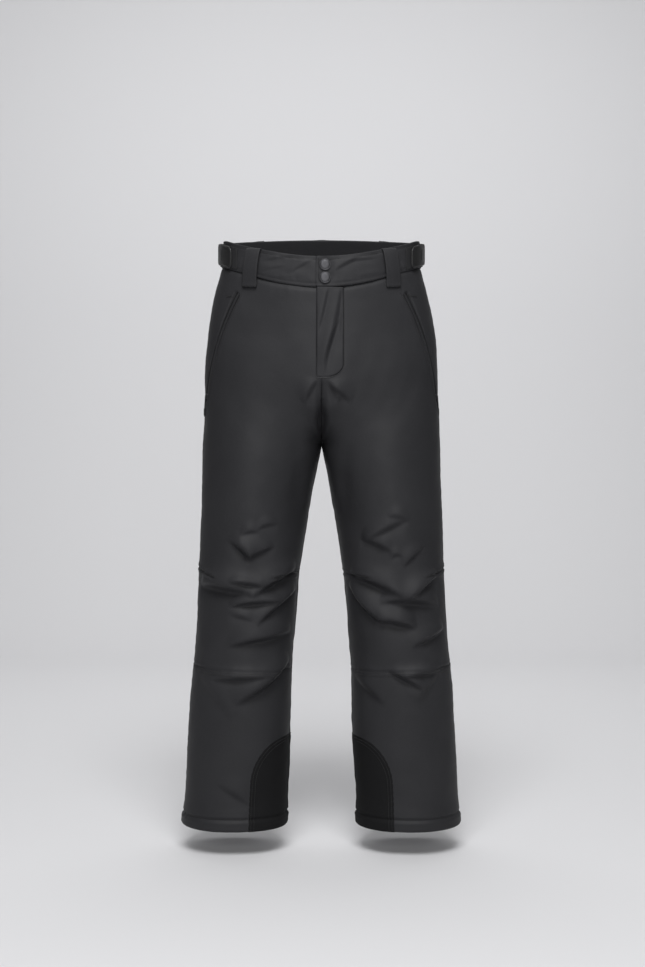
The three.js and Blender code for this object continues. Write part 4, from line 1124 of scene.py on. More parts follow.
class PANTS_OT_fly(bpy.types.Operator):
    """Fly flap, the zip behind it and the two snaps above it. The flap is the front face moved out by a half
    sine across it, by three folds and a seeded swell, and closed by the same face 1.4 mm further in"""

    bl_idname = "pants.fly"
    bl_label = "Fly"

    def execute(self, context):
        x0, x1 = FLY_X - FLY_HALF - 0.2, FLY_X + FLY_HALF + 0.6
        xs = np.linspace(x0, x1, 34)
        v = np.linspace(0, 1, 96)[:, None]
        top = float(at_waist(np.array(0.02), band_height(0.02))) + 2.5
        z = top + (flap_bottom(xs)[None] - top) * v
        x = np.broadcast_to(xs, z.shape)
        u = u_front(x, z)
        side = np.where(x < 0, -1.0, 1.0)
        h = 0.9 + 0.5 * np.sin(ramp((x - x0) / (x1 - x0)) * math.pi) + 0 * z
        fade = ramp((top - z) / 8) * ramp((z - flap_bottom(x)) / 5)
        for a, b, c, d, width, depth, bow in FLAP_FOLDS:
            h = h + fade * ramp((x1 - 1 - x) / 5) * fold(x, z, ((a, b), (c, d)), width, depth * 0.62, bow)
        h = h + swell(x, z, 3, 30, 70, 8, 0.3) * fade
        edge = np.minimum(np.minimum(x - x0, x1 - x) / 1.6, np.minimum((z - flap_bottom(x)) / 1.6, 10))
        outer = h * ramp(edge) ** 0.5
        p_out, _ = face(side, u, z, outer)
        p_in, _ = face(side, u, z, np.minimum(outer - 1.4, -0.6))
        # The two faces as one closed tube: rows go round the flap from its outer face to its inner one.
        rings = np.concatenate([p_out, p_in[:, ::-1]], 1)
        uv = np.stack([np.concatenate([x, x[:, ::-1]], 1), np.concatenate([z, z], 1)], -1)
        flap = dress(put_tubes("fly_front", [rings], [uv]), "shell")
        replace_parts(flap, "fly_flap")
        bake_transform(flap)

        zip_x, low, high = ZIP_X, FLY_BOTTOM_Z + 2, -91.0
        for name, way, reach in (("left", 1, 21.0), ("right", -1, 15.5)):
            a, b = sorted((zip_x + way * 0.7, zip_x + way * reach))
            outline = round_box((b - a) / 2, (high - low) / 2, 0.8)
            place = lambda s, t, h: in_fly(np.stack([s + (a + b) / 2, 7.0 - h, t + (high + low) / 2], -1))
            tape = dress(put_parts(f"fly_tape_{name}", [disc(outline, pad_rings(0.8, 0.05), place)]), "tape")
            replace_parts(tape, f"fly_zip_tape_{name}")
            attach(tape, "hips")
        coil = zip_coil(lambda s, t, h: in_fly(np.stack([s + zip_x, 6.2 - h, t + low + 6], -1)), high - low - 10)
        made = dress(put_parts("fly_coil", coil), "coil")
        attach(made, "hips")

        z0 = high - 16 + 0.2

        def on_zip(depth, up):
            """Puts a pad on the zip's line, facing forwards from this depth, its middle up from z0."""
            return lambda s, t, h: in_fly(np.stack([s + zip_x, depth - h, t + z0 + up], -1))

        body = disc(round_box(4, 5, 1.6), pad_rings(1.0, 0.12, 0.25), on_zip(5.3, 5))
        under = disc(round_box(4, 5, 1.6), pad_rings(0.8, 0.12), on_zip(8.8, 5))
        neck = disc(round_box(0.55, 2, 0.3), pad_rings(3.2, 0.1), on_zip(8.4, 8))
        slider = dress(put_parts("fly_slider_body", [body, under, neck]), "metal")
        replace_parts(slider, "fly_zip_slider")
        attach(slider, "fly_slider")
        pull = disc(round_box(2.6, 10, 2.2), pad_rings(1.1, 0.14, 0.1), on_zip(4.1, -2))
        pull = dress(put_parts("fly_slider_pull", [pull]), "metal")
        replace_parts(pull, "fly_zip_pull")
        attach(pull, "fly_slider")

        # A pressed cap: shallow dome, a sunk ring and a rolled rim.
        profile = [(0.05, -2.6), (3.0, -2.54), (5.0, -2.36), (6.1, -2.05), (6.5, -1.5), (6.75, -1.45),
                   (7.05, -1.8), (7.4, -1.85),
                   (7.75, -1.5), (7.8, -1.1), (7.6, -0.7), (7.0, -0.4), (2.0, -0.3), (1.9, 2.2), (0.05, 2.2)]
        for name, z in zip(("upper", "lower"), SNAP_Z):
            shape = lathe(profile) * [SNAP_SPREAD, 1, SNAP_SPREAD]
            points, faces = tube_parts(in_fly(shape + [SNAP_X, -SNAP_PROUD, z]))
            cap = put_parts(f"snap_dome_{name}", [(points, outward(points, faces))])
            dress(cap, "metal")
            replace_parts(cap, f"snap_cap_{name}")
            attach(cap, "fly")
        return {"FINISHED"}


# ---- Belt loops ----------------------------------------------------------------------------------
LOOP_W, LOOP_T, LOOP_SEAM = 27.0, 2.2, 10.3  # width and thickness of a loop, and its edge seams off its middle
LOOPS = (("front_left", 1, -66.0), ("front_right", -1, -66.0), ("back_left", 1, 62.0), ("back_right", -1, 62.0),
         ("back_middle", 1, 90.0))


def loop_frame(side, turn):
    """A belt loop's foot on the hips, its axes across, up and outwards, and its length."""
    t = math.radians(turn)
    u = u_at_turn(turn, -22.0) if abs(turn) < 90 else 1.0
    mid, _ = face(side, u, -22.0)
    top = float(waist_line(mid[1]))
    spots = []
    for z in (top - BAND_H - 9, top):
        k = u_at_turn(turn, z) if abs(turn) < 90 else 1.0
        spots.append(face(side, k, z)[0])
    up = spots[1] - spots[0]
    length = np.linalg.norm(up)
    up = up / length
    out = np.array([side * math.cos(t), math.sin(t), 0])
    across = unit(np.cross(out, up))
    return spots[0], across, up, np.cross(up, across), length


class PANTS_OT_belt_loops(bpy.types.Operator):
    """Five belt loops: a strap's section swept along a smooth path that folds under at the foot, stands off
    the band and rolls over its top edge"""

    bl_idname = "pants.belt_loops"
    bl_label = "Belt Loops"

    def execute(self, context):
        side_knots = [(1.3, 8.5), (1.2, 3.0), (2.4, -0.2), (3.9, 0.8), (4.4, 4.5), (5.6, 10), (7.6, 18),
                      (8.8, 27), (8.8, 37), (8.0, 45), (6.2, 50.5), (3.0, 53.2), (-0.6, 53.6), (-2.6, 52.0)]
        runs = []
        for name, side, turn in LOOPS:
            foot, across, up, out, length = loop_frame(side, turn)
            flat = smooth_path(side_knots, 64)
            flat[:, 1] = flat[:, 1] * (length + 10.5) / 53.4 - 11.5
            path = foot + flat[:, :1] * out + flat[:, 1:] * up
            o = strap_outline(LOOP_W, LOOP_T, 5)
            off = np.abs(o[:, 0])
            puff = 0.35 * np.cos(ramp(off / 9) * math.pi / 2) - 0.3 * bell((off - LOOP_SEAM) / 1.3)
            o[:, 1] += np.sign(o[:, 1]) * puff
            rings = sweep(path, across, o)
            rings = ends_in(rings, 0.5)
            s = np.broadcast_to(np.linspace(0, 70, len(rings))[:, None], rings.shape[:2])
            uv = np.stack([np.broadcast_to(o[:, 0], rings.shape[:2]), s], -1)
            made = dress(put_tubes(f"loop_{name}", [rings], [uv]), "shell")
            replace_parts(made, f"belt_loop_{name}")
            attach(made, "hips")
            along = unit(np.gradient(path, axis=0))
            normal = np.cross(across, along)
            normal *= np.sign((normal[30] * out).sum())
            for x in (-LOOP_SEAM, LOOP_SEAM):
                runs.append((path[10:52] + across * x + normal[10:52] * 0.95, normal[10:52]))
            for k in (11, 13):
                bar = path[k] + across * np.linspace(-11, 11, 12)[:, None] + normal[k] * 1.25
                runs.append((bar, np.broadcast_to(normal[k], bar.shape)))
        made = put_stitches("loop_stitching", runs, pitch=3.0, long=2.4, wide=0.38)
        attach(made, "hips")
        return {"FINISHED"}


# ---- Pockets -------------------------------------------------------------------------------------
class PANTS_OT_pockets(bpy.types.Operator):
    """Hand pockets: two lips along the slit, the coil zip between them, the slider and its cord pull. All of it
    is placed by distance across, along and above one arc, the one that the slider turns on"""

    bl_idname = "pants.pockets"
    bl_label = "Pockets"

    def execute(self, context):
        for name, side in SIDES:
            centre, axes, radius, sweep_by = POCKETS[side]

            def place(across, along, height):
                """Points by distance across the zip, along it from its lower end, and above its arc."""
                a = along / radius
                r = radius + height
                return centre + np.stack([r * np.cos(a), r * np.sin(a), across + 0 * r], -1) @ axes

            length = radius * sweep_by
            along = np.linspace(-11, length + 8, 110)
            fade = np.clip((along + 11) / 8, 0.25, 1) * np.clip((length + 8 - along) / 8, 0.25, 1)
            turn = np.linspace(0, 2 * math.pi, 15)[:-1]
            tubes, uvs = [], []
            for way, wide, high in ((1, 3.4, 0.8), (-1, 2.5, 0.25)):
                mid = way * side * (4.6 + 0.2 * np.sin(along / 17 + side))
                a = mid[:, None] + wide * np.cos(turn)[None] * (0.7 + 0.3 * fade[:, None])
                rise = high * fade * (1 + 0.1 * np.sin(along / 9.0 + way))
                up = -0.7 + rise[:, None] * np.sin(turn)[None]
                tubes.append(place(a, np.broadcast_to(along[:, None], a.shape), up))
                uvs.append(np.stack([a, np.broadcast_to(along[:, None], a.shape)], -1))
            lips = dress(put_tubes(f"pocket_welt_{name}", tubes, uvs), "shell")
            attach(lips, "hips")
            tape_parts = []
            for way in (-1, 1):
                outline = round_box(3.6, length / 2 + 7, 0.8)
                tape_parts.append(disc(outline, pad_rings(0.7, 0.05), lambda s, t,
                                       h: place(s + way * 4.35, t + length / 2, h - 1.9)))
            tape = dress(put_parts(f"pocket_tape_{name}", tape_parts), "tape")
            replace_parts(tape, f"pocket_zip_tape_{name}")
            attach(tape, "hips")
            coil = dress(put_parts(f"pocket_coil_{name}",
                                   zip_coil(lambda s, t, h: place(s, t - 4, h - 1.7), length + 8)), "coil")
            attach(coil, "hips")

            r = -1.5
            top = disc(round_box(3.9, 4.6, 1.8), pad_rings(1.0, 0.15, 0.3), lambda s, t,
                       h: place(s, t, r + 1.45 + h))
            low = disc(round_box(3.9, 4.6, 1.8), pad_rings(0.9, 0.15), lambda s, t, h: place(s, t, r - 2.4 + h))
            neck = disc(round_box(0.5, 2.2, 0.3), pad_rings(4.4, 0.1), lambda s, t,
                        h: place(s, t + 1.7, r - 2.2 + h))
            t = np.linspace(0, math.pi, 15)
            bail = np.stack([0 * t, 2.6 * np.cos(t), 2.3 + 1.7 * np.sin(t)], -1)
            bail = place(bail[:, 0], bail[:, 1], r + bail[:, 2])
            wire = sweep(bail, axes[2], round_section(0.55))
            w_points, w_faces = tube_parts(wire)
            slider = dress(put_parts(f"pocket_slider_body_{name}",
                                     [top, low, neck, (w_points, outward(w_points, w_faces))]), "metal")
            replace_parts(slider, f"pocket_zip_slider_{name}")
            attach(slider, f"pocket_slider_{name}")

            # The pull: a cord through the bail, both ends set in a moulded grip.
            lift = r + 4.1
            down = np.linspace(1.5, -24, 24)
            loops = []
            for way in (-1, 1):
                off = way * (0.35 + 0.75 * np.sin(ramp((1.5 - down) / 25) * math.pi) ** 0.7)
                path = place(off, down, np.full(24, lift) + 0.2 * np.sin(down / 5))
                points, faces = tube_parts(sweep(path, axes[2], round_section(0.62)))
                loops.append((points, outward(points, faces)))
            grip = disc(round_box(2.2, 8.5, 2.0), pad_rings(2.4, 0.35, 0.2), lambda s, t,
                        h: place(s, t - 29, lift - 1.2 + h))
            pull = dress(put_parts(f"pocket_pull_cord_{name}", [*loops, grip]), "webbing", "webbing")
            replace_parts(pull, f"pocket_zip_pull_{name}")
            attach(pull, f"pocket_pull_{name}")
        return {"FINISHED"}


# ---- Side adjusters ------------------------------------------------------------------------------
SIDE_MID = 22.5  # drop of the adjusters' middle line under the band's top edge
TAB_R, TAB_TURN, TAB_ARC = 83.25, -27.5, 38.0  # the tab's arc: radius, turn of its middle, and sweep in degrees
def wall_pad(side, r, turn0, turn1, drop0, drop1, thick, corner, edge=0.14, dome=0.0, level=False):
    """A pad bent round the side arc: a round-cornered outline in arc length and height, with a rolled edge."""
    mid = math.radians((turn0 + turn1) / 2)
    half = math.radians(turn1 - turn0) / 2 * r
    outline = round_box(half, (drop1 - drop0) / 2, corner)

    def place(s, t, h):
        turn = mid + s / r
        y = r * np.sin(turn)
        line = (0 if level else 1) * waist_line(y)
        return side_wall(side, r + h, np.degrees(turn), line - (drop0 + drop1) / 2 + t)

    rings = pad_rings(thick, edge, dome, 10)
    return disc(outline, rings, place)


class PANTS_OT_adjusters(bpy.types.Operator):
    """Side adjusters: loop patch, moulded tab with its hooks, strap and the casing that it slides in. All of
    them are flat outlines bent round one upright arc, with rolled edges"""

    bl_idname = "pants.adjusters"
    bl_label = "Side Adjusters"

    def execute(self, context):
        runs = []
        for name, side in SIDES:
            patch = put_parts(f"loop_tape_{name}", [wall_pad(side, SIDE_FACE, -54, 20, 3.5, 41.5, 1.0, 3)])
            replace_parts(dress(patch, "webbing"), f"loop_patch_{name}")
            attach(patch, "hips")
            hook = put_parts(f"hook_tape_{name}", [wall_pad(side, 81.7, -45, -10, 6.0, 39.0, 1.0, 6)])
            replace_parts(dress(hook, "webbing"), f"hook_patch_{name}")
            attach(hook, f"adjuster_tab_{name}")
            # The tab: a plate with a raised border and a shallow panel pressed into its middle.
            plate = wall_pad(side, 82.9, -46, -9, 4.5, 40.5, 1.3, 8.5, 0.1)
            rim_outline = round_box(math.radians(TAB_ARC) / 2 * (TAB_R - 0.2), 18.5, 8.5)

            def on_tab(s, t, h):
                turn = math.radians(TAB_TURN) + s / TAB_R
                return side_wall(side, TAB_R + h, np.degrees(turn),
                                 waist_line(TAB_R * np.sin(turn)) - SIDE_MID + t)

            rings = [(0.86, 0.95), (0.87, 1.5), (0.905, 1.85), (0.945, 1.85), (0.985, 1.5), (1.0, 0.95),
                     (1.0, 0.3), (0.96, 0.1), (0.86, 0.4)]
            share, height = np.asarray(rings).T
            st = rim_outline[None] * share[:, None, None]
            p = on_tab(st[..., 0], st[..., 1], np.broadcast_to(height[:, None], st.shape[:2]))
            rim_faces = [grid_faces(len(rings), len(rim_outline), ring=True, tube=True)]
            rim_points = p.reshape(-1, 3)
            mould = disc(round_box(9, 10, 3.5), pad_rings(0.5, 0.2, 0.15), lambda s, t,
                         h: on_tab(s + 11, t, h + 0.9))
            tab = put_parts(f"tab_plate_{name}", [plate, (rim_points, outward(rim_points, rim_faces)), mould])
            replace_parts(dress(tab, "plastic"), f"adjuster_tab_{name}")
            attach(tab, f"adjuster_tab_{name}")

            strap = put_parts(f"tab_strap_{name}", [wall_pad(side, 81.7, -7.5, 38, 8.5, 36.5, 1.2, 1.5, 0.05,
                                                             level=True)])
            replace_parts(dress(strap, "webbing"), f"adjuster_strap_{name}")
            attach(strap, f"adjuster_strap_{name}")

            # The casing: a sleeve of shell cloth, sewn down along its edges and open towards the tab.
            turn = np.linspace(27, 60, 26)
            t = np.linspace(0, 2 * math.pi, 41)[:-1]
            across = 18 * np.sign(np.cos(t)) * np.abs(np.cos(t)) ** 0.35
            out = 82.3 + 2.1 * np.sign(np.sin(t)) * np.abs(np.sin(t)) ** 0.5
            wave = 0.25 * np.sin(turn / 2.0)[:, None] * np.cos(t)[None] ** 2
            tt, oo = np.broadcast_arrays(turn[:, None], out[None] + wave)
            ring = side_wall(side, oo, tt, np.broadcast_to(across - SIDE_MID, oo.shape))
            uv = np.stack([np.radians(tt) * 82, np.broadcast_to(across, tt.shape)], -1)
            inner_out = 82.3 + 1.0 * np.sign(np.sin(t)) * np.abs(np.sin(t)) ** 0.5
            io = np.broadcast_to(inner_out[None], oo.shape)
            inner = side_wall(side, io, tt, np.broadcast_to(across * 0.93 - SIDE_MID, oo.shape))
            wall = np.concatenate([ring, inner[::-1]])
            points = wall.reshape(-1, 3)
            faces = outward(points, [grid_faces(len(wall), wall.shape[1], ring=True, tube=True)])
            uv = np.concatenate([uv, uv[::-1]]).reshape(-1, 2)
            casing = dress(put_mesh(f"strap_casing_{name}", points, faces, uv), "shell")
            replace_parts(casing, f"adjuster_casing_{name}")
            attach(casing, "hips")
            for z in (15.5 - SIDE_MID, -15.5 - SIDE_MID):
                path = side_wall(side, np.full(30, 84.2), np.linspace(30, 58, 30), np.full(30, z))
                runs.append((path, unit(path * [1, 1, 0] - [side * SIDE_X, 0, 0])))
            edge = side_wall(side, np.full(30, 84.25), np.full(30, 58.0), np.linspace(-37, -8, 30))
            runs.append((edge, unit(edge * [1, 1, 0] - [side * SIDE_X, 0, 0])))
            # the patch's sewn edge just in front of the tab
            line = side_wall(side, np.full(24, 81.5), np.full(24, -52.5),
                             waist_line(np.full(24, -64.0)) - np.linspace(5, 40, 24))
            runs.append((line, unit(line * [1, 1, 0] - [side * SIDE_X, 0, 0])))
        made = put_stitches("adjuster_stitching", runs, pitch=3.0, long=2.3, wide=0.36)
        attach(made, "hips")
        return {"FINISHED"}


# ---- Lower legs ----------------------------------------------------------------------------------
def guard_reach(z):
    """How far the scuff guard comes round from the inseam at height z, as a share of the leg's turn."""
    c = ramp((z - HEM_Z - GUARD_FOOT) / (GUARD_H - GUARD_FOOT))
    wide = GUARD_REACH * np.sqrt(1 - c**2) ** 0.9
    _, a, _, _ = through(LEGS, z)
    return 0.5 - np.arccos(np.clip(wide / a - 1, -1, 1)) / (2 * math.pi)


class PANTS_OT_lower_legs(bpy.types.Operator):
    """Scuff guards and gaiters. A guard is the shell's relief plus its cloth, out to an arched edge round the
    inseam; a gaiter is an ellipse that eases to its elastic's circle, with 26 gathers that grow towards it"""

    bl_idname = "pants.lower_legs"
    bl_label = "Lower Legs"

    def execute(self, context):
        for name, side in SIDES:
            t = np.linspace(0, 1, 40)
            top, foot = HEM_Z + GUARD_H, HEM_Z + GUARD_FOOT
            z = np.concatenate([foot + (top - foot) * np.cos(t * math.pi / 2),
                                np.arange(foot - 3, HEM_Z + 1.5, -2.2), [HEM_Z + 0.6]])
            c = np.linspace(-1, 1, 91)
            c = np.sign(c) * np.abs(c) ** 0.9
            reach = guard_reach(z)
            uu = c[None] * reach[:, None]
            zz = np.broadcast_to(z[:, None], uu.shape)
            turn = np.where(uu < 0, uu + 1, uu)
            edge = np.minimum((1 - np.abs(c[None])) * reach[:, None] * GUARD_GIRTH, (top - zz) * 1.2)
            h = relief(side, turn, zz) + 1.0 * ramp(edge / 1.2) ** 0.5 - 0.5 * bell((edge - 3.5) / 1.3)
            h = h + 0.35 * np.sin(zz * 2 * math.pi / 10) * bell(edge / 8)
            p_out, _ = face(side, turn, zz, h)
            p_in, _ = face(side, turn, zz, h - GUARD_T)
            rings = np.concatenate([p_out, p_in[:, ::-1]], 1)
            long = np.concatenate([uu, uu[:, ::-1]], 1) * GUARD_GIRTH
            uv = np.stack([long, np.concatenate([zz, zz], 1)], -1)
            guard = dress(put_tubes(f"guard_{name}", [rings], [uv]), "guard")
            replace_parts(guard, f"scuff_guard_{name}")
            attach(guard, f"shin_{name}")

            # The gaiter hangs inside the leg and narrows to its elastic.
            low, high = HEM_Z + GAITER_LOW, HEM_Z + GAITER_HIGH
            x, a, y, b = (float(v) for v in through(LEGS, high))
            xl, _, yl, _ = (float(v) for v in through(LEGS, low))
            turn = np.linspace(0, 2 * math.pi, 121)[:-1]
            v = np.linspace(0, 1, 34)[:, None]
            ease = v * v * (3 - 2 * v)
            ax, by = (a - 9.5) + (ELASTIC_R - a + 9.5) * ease, (b - 9.5) + (ELASTIC_R - b + 9.5) * ease
            slack = 1.4 * np.sin(turn * 9 + 2 * v) * np.sin(v * math.pi)
            gather = 1.8 * np.sin(turn * 26) * ramp((v - 0.55) / 0.45) ** 1.5 + slack
            cx, cy = x + (xl - x) * ease, y + (yl - y) * ease
            zz = high + (low - high) * v + 0 * turn
            rings = []
            for inset in (0.0, 1.1):
                rings.append(np.stack([side * (cx + (ax - inset + gather) * np.cos(turn)),
                                       cy + (by - inset + gather) * np.sin(turn), zz], -1))
            wall = np.concatenate([rings[0], rings[1][::-1]])
            points = wall.reshape(-1, 3)
            faces = outward(points, [grid_faces(len(wall), 120, ring=True, tube=True)])
            uv = np.stack([np.broadcast_to(turn * 70, wall.shape[:2]), wall[..., 2]], -1).reshape(-1, 2)
            gaiter = dress(put_mesh(f"gaiter_cuff_{name}", points, faces, uv), "lining")
            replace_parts(gaiter, f"gaiter_{name}")
            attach(gaiter, f"shin_{name}")

            zs = np.linspace(low - 0.4, low - 20.3, 22)[:, None]
            ribs = 0.45 * np.abs(np.sin((zs - low) * math.pi / 2.9)) + 0.3 * np.sin(turn * 60)
            rings = []
            for base, way in ((59.6, 1), (57.4, -1)):
                r = base + way * ribs
                rings.append(np.stack([side * (xl + r * np.cos(turn)), yl + r * np.sin(turn), zs + 0 * turn], -1))
            wall = np.concatenate([rings[0], rings[1][::-1]])
            points = wall.reshape(-1, 3)
            made = put_mesh(f"elastic_{name}", points,
                            outward(points, [grid_faces(len(wall), 120, ring=True, tube=True)]))
            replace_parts(dress(made, "webbing"), f"gaiter_elastic_{name}")
            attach(made, f"shin_{name}")
        return {"FINISHED"}


# ---- Stitching -----------------------------------------------------------------------------------
class PANTS_OT_stitching(bpy.types.Operator):
    """Topstitching: small capsules of thread set evenly along the seams, hems, waistband, pockets and fly"""

    bl_idname = "pants.stitching"
    bl_label = "Stitching"

    def execute(self, context):
        pitch = context.scene.pants_sizes.stitch / MM
        waist = []
        for name, side in SIDES:
            shin, knee = [], []
            u = np.linspace(0.004, 0.996, 420)
            shin.append(on_shell(side, u, np.full(420, HEM_Z + HEM_H + 1.6), 0.35))
            t = np.linspace(0, 1, 200)
            for off in (3.5, 8.5):
                arch = GUARD_H - GUARD_FOOT
                z = HEM_Z + np.concatenate([GUARD_FOOT + (arch - off) * np.cos(t * math.pi / 2),
                                            np.linspace(78, 4, 60)])
                inside = z + off * ramp((z - HEM_Z - GUARD_FOOT) / arch)
                reach = np.maximum(guard_reach(inside) - off / GUARD_GIRTH, 0.001)
                for way in (1, -1):
                    turn = reach if way > 0 else 1 - reach
                    shin.append(on_shell(side, turn, z, 1.15))
            for off in (2.2, 7.2):
                u = np.linspace(0.004, 0.496, 240)
                knee.append(on_shell(side, u, knee_seam(u) - off, 0.3))
            for (x0, z0), (x1, z1) in DARTS[side]:
                u0 = 0.004 if x0 < 52 else u_at_x(x0, z0)
                u1 = 0.496 if x1 > 200 else u_at_x(x1, z1)
                knee.append(on_shell(side, np.linspace(u0, u1, 40), np.linspace(z0, z1, 40) + 2.4, 0.3))
            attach(put_stitches(f"shin_stitching_{name}", shin, pitch), f"shin_{name}")
            knee_blend(put_stitches(f"knee_stitching_{name}", knee, pitch), name)
            centre, axes, radius, sweep_by = POCKETS[side]
            along = np.linspace(-14, radius * sweep_by + 10, 120) / radius
            arc = centre + np.stack([radius * np.cos(along), radius * np.sin(along), 0 * along + side * 12.0],
                                    -1) @ axes
            n = unit(np.stack([np.cos(along), np.sin(along), 0 * along], -1) @ axes)
            probe = u_at_x(150, -104)
            waist.append((snap_to_shell(side, arc, 0.3), n))
            z = np.full(14, -103.0)
            bar = on_shell(side, np.linspace(probe - 0.012, probe + 0.03, 14), z, 0.8)
            waist += [bar, on_shell(side, np.linspace(probe - 0.012, probe + 0.03, 14), z + 1.3, 0.8)]
        # the J of the fly: down beside the flap's sewn edge and round under it
        edge = FLY_X + FLY_HALF + FLY_SEAM
        x = np.concatenate([np.full(80, edge), edge
                            - np.linspace(0, 1, 80) ** 1.6 * (2 * FLY_HALF + FLY_SEAM - 0.5)])
        low = flap_bottom(np.minimum(x, FLY_X + FLY_HALF)) - FLY_SEAM
        z = np.concatenate([np.linspace(-92, low[80], 80), low[80:]])
        side = np.where(x < 0, -1.0, 1.0)
        u = u_front(x, z)
        h = np.where(side > 0, relief(1, u, z), relief(-1, u, z))
        waist.append(face(side, u, z, np.maximum(h, -0.6) + 0.35))
        main = put_stitches("hip_stitching", waist, pitch)
        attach(main, "hips")

        outline, count = band_outline()
        free = FLY_X - FLY_HALF
        front_s, front_u = band_columns(free + 2.5, BAND_SPLIT)
        u_split, u_free = band_ends()
        back_u = np.concatenate([np.linspace(u_split, 1, 200), np.linspace(1, u_free + 0.004, 200)])
        back_s = np.concatenate([np.ones(200), -np.ones(200)])
        for name, s, u, lift in (("overlap_stitching", front_s, front_u, 0.9),
                                 ("band_stitching", back_s, back_u, 0.0)):
            runs = []
            for share in (4.0 / BAND_H, 1 - 4.2 / BAND_H):
                puff = float(np.interp(share * BAND_H, -outline[:count, 0][::-1], outline[:count, 1][::-1]))
                runs.append(face(s, u, at_waist(u, share * band_height(u)), puff + lift + 0.3))
            if lift:
                drops = np.linspace(4, BAND_H - 4, 30)
                x = np.full(30, free + 3.2)
                k = u_front(x, -41 - drops)
                runs.append(face(-1.0, k, -41 - drops, 2.2))
            made = put_stitches(name, runs, pitch)
            if lift:
                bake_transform(made)
            else:
                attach(made, "hips")
        return {"FINISHED"}


def snap_to_shell(side, points, h):
    """Moves points near the hips' face onto the shell, h above it, at the same height and the nearest turn."""
    z = points[:, 2]
    us = np.linspace(0.15, 0.56, 400)
    base, _ = face(side, us[None], z[:, None] + 0 * us[None])
    near = np.argmin(((base[..., :2] - points[:, None, :2]) ** 2).sum(-1), 1)
    return on_shell(side, us[near], z, h)[0]


# ---- Kept fittings and stage ---------------------------------------------------------------------
class PANTS_OT_fittings(bpy.types.Operator):
    """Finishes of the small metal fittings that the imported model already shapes"""

    bl_idname = "pants.fittings"
    bl_label = "Metal Fittings"

    def execute(self, context):
        for key in ("snap_socket_upper", "snap_socket_lower", "snap_stud_upper", "snap_stud_lower",
                    "fly_zip_stop"):
            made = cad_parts[key]
            made.data.materials.clear()
            made.data.materials.append(MATERIALS["metal"])
        return {"FINISHED"}


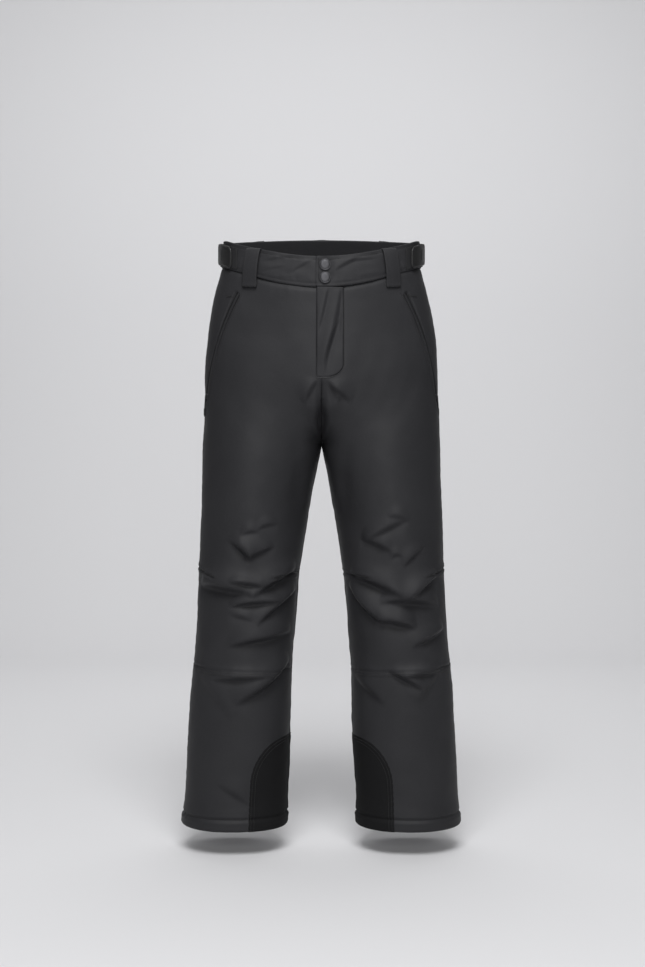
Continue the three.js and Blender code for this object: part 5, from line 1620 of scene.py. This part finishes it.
class PANTS_OT_stage(bpy.types.Operator):
    """Pale floor that bends up a quarter circle into its backdrop, soft studio lights and the camera"""

    bl_idname = "pants.stage"
    bl_label = "Stage"

    def execute(self, context):
        scene = context.scene
        drop = scene.pants_sizes.floor_drop / MM
        y = np.concatenate([np.linspace(-5200, 2500, 40), 2500 + 1500 * np.sin(np.linspace(0, math.pi / 2, 34)),
                            np.full(8, 4000.0)])
        rise = np.concatenate([np.zeros(40), 1500 * (1 - np.cos(np.linspace(0, math.pi / 2, 34))),
                               np.linspace(1500, 6200, 9)[1:]])
        x = np.linspace(-6000, 6000, 23)
        p = np.stack([np.broadcast_to(x, (len(y), 23)), np.broadcast_to(y[:, None], (len(y), 23)),
                      np.broadcast_to(HEM_Z - drop + rise[:, None], (len(y), 23))], -1)
        floor = put_grid("backdrop", p)
        # Painted plaster sweep, matte and even, with only a trace of roller texture.
        made, tree = material("matte_painted_sweep")
        where = node(tree, "ShaderNodeTexCoord").outputs["Object"]
        cloud = node(tree, "ShaderNodeTexNoise", None, Vector=where, Scale=3.0, Detail=3.0).outputs[0]
        base = scene.pants_looks.backdrop
        finish_material(tree, two_tones(tree, cloud, base, base), 0.9, bumped(tree, cloud, 0.0002),
                        Specular_IOR_Level=0.2)
        floor.data.materials.append(made)

        def lamp(name, energy, place, aim, size, size_y):
            data = bpy.data.lights.new(name, "AREA")
            data.shape, data.size, data.size_y, data.energy = "RECTANGLE", size, size_y, energy
            made = bpy.data.objects.new(name, data)
            made.location = place
            d = np.asarray(aim, float) - np.asarray(place, float)
            yaw, pitch = math.atan2(-d[0], d[1]), math.atan2(d[2], math.hypot(d[0], d[1]))
            made.rotation_euler = (math.pi / 2 + pitch, 0, yaw)
            made.visible_camera = False
            scene.collection.objects.link(made)

        lamp("key_softbox", 108, (0.0, -2.1, 2.3), (0, 0, -0.6), 1.9, 1.5)
        lamp("front_softbox", 37, (0.0, -3.3, 0.3), (0, 0, -0.55), 1.0, 1.2)
        lamp("top_softbox", 12, (0, 0.6, 3.0), (0, 0.6, -1), 2.4, 1.6)
        lamp("back_softbox", 54, (0, 1.5, 2.0), (0, 4.0, -0.7), 4.6, 1.0)
        world = bpy.data.worlds.new("studio")
        world.use_nodes = True
        world.node_tree.nodes.clear()
        sky = node(world.node_tree, "ShaderNodeBackground", None, Color=linear("#ffffff"), Strength=0.08)
        node(world.node_tree, "ShaderNodeOutputWorld", None, Surface=sky.outputs[0])
        scene.world = world
        scene.view_settings.view_transform = "Standard"

        data = bpy.data.cameras.new("camera")
        data.lens, data.sensor_width, data.clip_end = 50, 36, 30
        camera = bpy.data.objects.new("camera", data)
        camera.location, camera.rotation_euler = (0.00175, -2.35, -0.421), (math.pi / 2, 0, 0)
        scene.collection.objects.link(camera)
        scene.camera = camera
        return {"FINISHED"}


class PANTS_PT_panel(bpy.types.Panel):
    """Settings and steps of the ski pants"""

    bl_idname = "PANTS_PT_panel"
    bl_label = "Ski Pants"
    bl_space_type = "VIEW_3D"
    bl_region_type = "UI"
    bl_category = "Ski Pants"

    def draw(self, context):
        for group in (context.scene.pants_sizes, context.scene.pants_looks):
            for key in group.bl_rna.properties.keys():
                if key not in ("rna_type", "name"):
                    self.layout.prop(group, key)
        for operator in OPERATORS:
            self.layout.operator(operator.bl_idname)


OPERATORS = (PANTS_OT_materials, PANTS_OT_stage, PANTS_OT_shell, PANTS_OT_lining, PANTS_OT_waistband,
             PANTS_OT_fly, PANTS_OT_belt_loops,
             PANTS_OT_pockets, PANTS_OT_adjusters, PANTS_OT_lower_legs, PANTS_OT_stitching, PANTS_OT_fittings)
CLASSES = (PANTS_PG_looks, PANTS_PG_sizes, *OPERATORS, PANTS_PT_panel)


def register():
    for made in CLASSES:
        bpy.utils.register_class(made)
    bpy.types.Scene.pants_looks = PointerProperty(type=PANTS_PG_looks)
    bpy.types.Scene.pants_sizes = PointerProperty(type=PANTS_PG_sizes)


def unregister():
    del bpy.types.Scene.pants_sizes
    del bpy.types.Scene.pants_looks
    for made in reversed(CLASSES):
        bpy.utils.unregister_class(made)


def main():
    register()
    for operator in OPERATORS:
        getattr(bpy.ops.pants, operator.bl_idname.split(".")[1])()
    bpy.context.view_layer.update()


if __name__ == "__main__":
    main()
